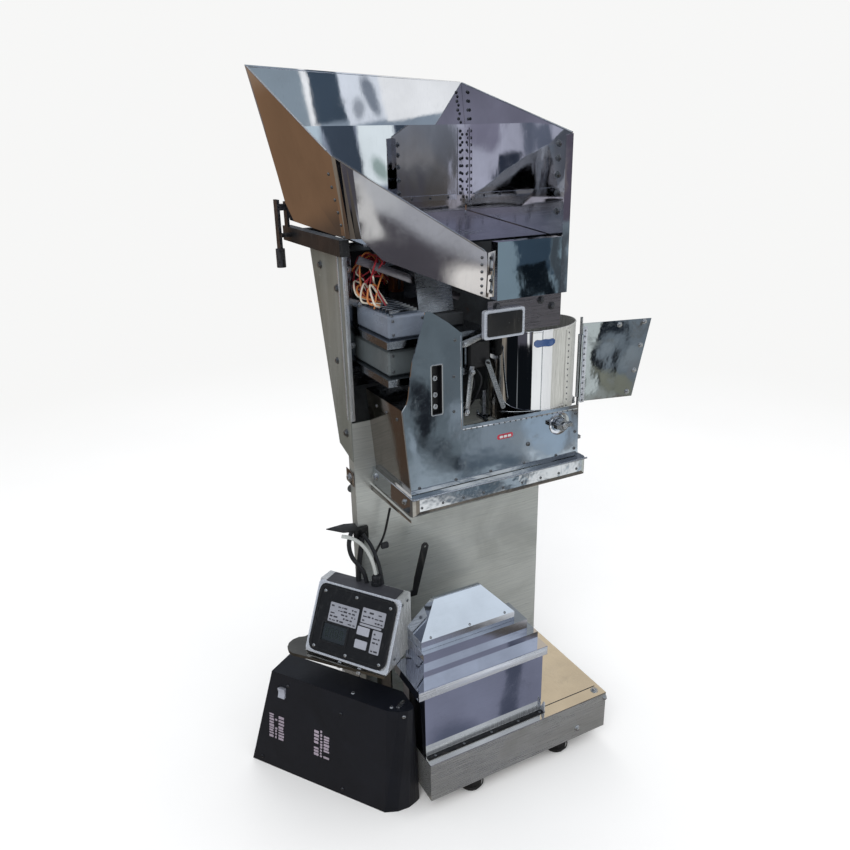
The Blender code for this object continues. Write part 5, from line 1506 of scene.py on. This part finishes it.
# azimuth, elevation, half width, half height, colour, tilt (all in degrees), edge softness,
# OVAL where not a rectangle; later patches lie over earlier ones
PATCHES = [
    # in the hopper's rear panel, above the crease
    (27.0, 21.0, 9.0, 7.0, "8d99a6", 0, .04), (20.6, 22.2, 2.2, 3.2, "8c99a3", 0, .3),
    (22.6, 22.4, 0.32, 3.0, "ffffff", 4, .4), (24.0, 22.6, 1.22, 2.35, "414e5c", 0, .08),
    (26.9, 22.6, 1.6, 2.7, "e9eef6", 0, .08), (27.45, 21.6, 0.5, 1.4, "848c98", 10, .35, OVAL),
    (26.3, 20.9, 0.4, 0.7, "a3a9b2", -20, .5, OVAL), (31.5, 22.6, 3.2, 2.9, "ffffff", 0, .05),
    (34.4, 17.6, 3.4, 1.9, "6f7581", 27, .08),
    # below the crease
    (26.0, -2.6, 7.2, 4.4, "8a92a2", 0, .05), (19.4, -1.0, 1.1, 3.4, "c3d3dd", 0, .3),
    (22.1, -0.6, 1.05, 2.6, "414b58", 16, .12), (24.6, -0.4, 1.35, 2.6, "f2fafc", 8, .12),
    (24.7, -1.9, 0.45, 0.9, "9fb0ac", 30, .5, OVAL), (26.35, -0.9, 0.42, 2.7, "414a57", 0, .2),
    (28.9, -2.2, 2.1, 3.6, "b3bac9", 0, .06), (28.0, -0.9, 0.45, 0.2, "444a58", 20, .6, OVAL),
    (27.1, -3.2, 0.55, 0.26, "3a404d", 0, .6, OVAL),
    (29.9, -2.7, 0.35, 0.5, "5a606e", 0, .6, OVAL),
    # in the hopper's right panel
    (-34.5, -1.6, 4.6, 5.2, "cfcfdb", 0, .06), (-32.0, 1.0, 1.2, 1.6, "9996a6", 10, .3, OVAL),
    (-33.6, -2.6, 0.85, 1.75, "39404d", 6, .12), (-35.6, -0.6, 0.7, 3.0, "747a88", -14, .3),
    (-37.2, -1.6, 0.6, 1.4, "eef3fb", 8, .35, OVAL),
    (-36.6, -3.6, 0.5, 1.2, "9da4b0", -10, .4, OVAL),
    (-34.6, -5.3, 1.6, 0.5, "eef5fb", -6, .4, OVAL),
    (-33.0, 13.0, 6.0, 9.0, "8f8d9b", 0, .2), (38.6, -3.0, 1.6, 8.0, "5a5561", 0, .2),
    # in the flared left wall
    (-160.0, -7.0, 14.0, 9.5, "80654f", 0, .10),
    (-156.0, -1.5, 6.0, 2.0, "a08c7a", 0, .5, OVAL),
    (-160.0, -21.0, 14.0, 7.0, "584a40", 0, .15),
    # in the hopper's front wall
    (-12.0, -13.0, 15.0, 10.5, "54535c", 0, .08), (-8.2, -8.0, 8.5, 1.75, "b3b8c3", -27, .35),
    (-11.6, -7.2, 1.8, 1.1, "cfd5dd", -27, .4, OVAL),
    (-3.9, -14.0, 2.6, 1.4, "ffffff", -30, .4, OVAL),
    (-13.3, -8.6, 1.5, 2.0, "e6e9ec", 12, .12), (-13.6, -7.6, 0.95, 0.75, "2f2a30", 10, .15),
    (-13.5, -9.7, 0.85, 0.70, "2f2a30", -8, .15),
    # in the front plate
    (27.2, -17.5, 6.5, 7.0, "727d84", 0, .08), (30.4, -17.0, 1.6, 4.0, "656f76", 10, .4),
    (27.2, -19.5, 1.5, 3.4, "20242a", 10, .3, OVAL),
    (26.0, -22.6, 0.5, 1.6, "a9b6c2", 30, .3, OVAL),
    (30.2, -23.4, 1.6, 1.0, "2c323a", -12, .4, OVAL), (33.6, -21.0, 3.2, 2.0, "8f9aa4", 0, .15),
    (37.6, -20.9, 1.6, 1.1, "a8bacb", 0, .4, OVAL), (38.5, -22.7, 2.4, 0.8, "e2edf5", 4, .3),
    (33.0, -23.3, 2.4, 0.6, "5d6a76", -4, .4), (34.0, -24.8, 9.0, 0.8, "a9b6c0", 0, .3),
    (37.6, -24.6, 2.0, 1.2, "ffffff", 4, .3), (31.4, -24.9, 1.6, 0.7, "55636f", -6, .4, OVAL),
    (33.0, -26.3, 9.0, 0.9, "46525e", 0, .3),
    # in the chute cover
    (35.4, -8.8, 3.6, 2.8, "8b9ca5", 0, .10), (35.6, -8.0, 1.45, 1.5, "3d4d5b", 0, .12),
    (35.6, -9.9, 1.1, 1.2, "141b21", 10, .15), (37.6, -8.9, 0.5, 2.6, "50565b", 0, .3),
    # in the side door
    (41.8, -15.0, 2.4, 3.2, "838d95", 0, .08), (40.1, -15.0, 0.95, 3.4, "e3eae6", 0, .15),
    (41.05, -14.8, 0.34, 3.2, "161b22", -6, .2),
    (42.6, -15.2, 1.2, 0.5, "99a2a8", 20, .4, OVAL),
    (41.9, -13.8, 0.7, 0.6, "272d35", 0, .4, OVAL), (41.9, -17.2, 1.2, 1.0, "98998a", 0, .3),
    (43.2, -16.2, 0.5, 1.0, "8f9498", 0, .5, OVAL),
    # in the drum
    (-20.5, -20.7, 25.0, 6.0, "101317", 0, .04), (-38.0, -17.0, 13.0, 6.5, "101317", 0, .05),
    (-24.0, -18.6, 0.9, 3.0, "7d8084", 8, .4, OVAL), (13.2, -18.0, 8.6, 8.0, "ffffff", 0, .05),
    (68.0, -17.0, 20.0, 9.0, "c6c9c3", 0, .2), (96.0, -17.0, 7.0, 9.0, "6d726f", 0, .3),
    # in the plinth
    (32.0, -41.0, 7.0, 5.2, "888b9c", 0, .05), (34.6, -40.2, 0.8, 4.4, "565b6b", -6, .15),
    (30.0, -42.8, 2.4, 1.2, "666b7c", 0, .4, OVAL), (33.0, 40.6, 9.0, 5.0, "e9f1f8", 0, .10),
    # in the base deck and the column
    (140.5, 38.5, 12.0, 8.0, "d9ccb8", 0, .15), (146.0, 13.4, 6.0, 1.6, "6b7686", 0, .4),
    (29.0, -30.5, 12.0, 4.0, "ffffff", 0, .2), (-84.0, 15.0, 14.0, 10.0, "5b5f68", 0, .3),
    (95.0, -36.0, 12.0, 8.0, "c9d0d2", 0, .3),
]
for row in PATCHES:
    sky = patch(sky, *row)


def backdrop(light):
    node = net.new("Background")
    net.put(node.inputs[0], light)
    return node.outputs[0]


# the camera sees a plain backdrop, glossy rays see the room, all others an even light
rays = net.new("LightPath").outputs
even = net.mix(net.span(elevation, over=(-60.0, 70.0)), (0.62, 0.62, 0.63, 1),
               (1.0, 1.01, 1.03, 1))
unseen = net.blend(rays["Is Glossy Ray"], backdrop(even), backdrop(sky))
net.put(net.new("OutputWorld").inputs[0],
        net.blend(rays["Is Camera Ray"], unseen, backdrop(BACKDROP)))
try:
    world.cycles.sampling_method = "NONE"
except AttributeError:
    pass    # the Cycles settings are missing where its add-on is off

# ------------------------------------------------------------------ floor, lights, camera

# the pale floor fades into the backdrop away from the machine
net = surface("floor_pale")
place = net.coord()
cloud = net.noise(place, scale=1.5, detail=4.0)
net.shade({"Base Color": net.mix(net.span(cloud, over=(0.3, 0.7)), (0.86, 0.86, 0.855, 1),
                                 (0.90, 0.90, 0.895, 1)),
           "Roughness": 0.8, "Specular IOR Level": 0.1})
far = net.span(net.vmath("LENGTH", place, output="Value"), over=(0.9, 3.2), smooth=True)
glow = net.new("Emission")
glow.inputs[0].default_value = BACKDROP
net.put(net.output.inputs[0], net.blend(far, net.shader.outputs[0], glow.outputs[0]))

disc = bmesh.new()
bmesh.ops.create_circle(disc, cap_ends=True, segments=64, radius=30.0)
floor_mesh = bpy.data.meshes.new("floor")
disc.to_mesh(floor_mesh)
disc.free()
floor = bpy.data.objects.new("floor", floor_mesh)
floor.location = (0, 0, -0.0006)
floor_mesh.materials.append(MATERIALS["floor_pale"])
bpy.context.scene.collection.objects.link(floor)
floor.visible_glossy = False


def softbox(name, where, target_z, size, power):
    """A rectangular light aimed at a height on the machine's axis."""
    light = bpy.data.lights.new(name, "AREA")
    light.shape = "RECTANGLE"
    light.size, light.size_y = size
    light.energy = power
    light.color = (1, 1, 1)
    lamp_object = bpy.data.objects.new(name, light)
    lamp_object.location = where
    lamp_object.rotation_mode = "QUATERNION"
    aim_line = Vector((0, 0, target_z)) - Vector(where)
    lamp_object.rotation_quaternion = aim_line.to_track_quat("-Z", "Y")
    lamp_object.visible_glossy = False
    lamp_object.visible_camera = False
    bpy.context.scene.collection.objects.link(lamp_object)


softbox("key_light", where=(-2.4, -2.6, 3.4), target_z=0.6, size=(2.4, 2.4), power=62)
softbox("fill_light", where=(3.2, -1.4, 2.2), target_z=0.6, size=(2.6, 2.6), power=26)
softbox("rim_light", where=(0.6, 3.2, 2.8), target_z=0.7, size=(2.6, 1.6), power=24)

CAMERA_PLACE = (-0.648, -1.184, 1.162)
YAW, PITCH, ROLL = math.radians(27.41), math.radians(20.51), math.radians(-1.22)
camera_data = bpy.data.cameras.new("camera")
camera = bpy.data.objects.new("camera", camera_data)
bpy.context.scene.collection.objects.link(camera)
bpy.context.scene.camera = camera
camera_data.lens = 32.44
camera_data.sensor_width = 36.0
ahead = Vector((math.sin(YAW) * math.cos(PITCH), math.cos(YAW) * math.cos(PITCH),
                -math.sin(PITCH)))
level = Vector((math.cos(YAW), -math.sin(YAW), 0))
plumb = level.cross(ahead)
rolled_right = level * math.cos(ROLL) + plumb * math.sin(ROLL)
rolled_up = plumb * math.cos(ROLL) - level * math.sin(ROLL)
turn = Matrix((rolled_right, rolled_up, -ahead)).transposed()
camera.matrix_world = Matrix.Translation(CAMERA_PLACE) @ turn.to_4x4()
bpy.context.scene.view_settings.view_transform = "Standard"
bpy.context.scene.view_settings.look = "None"
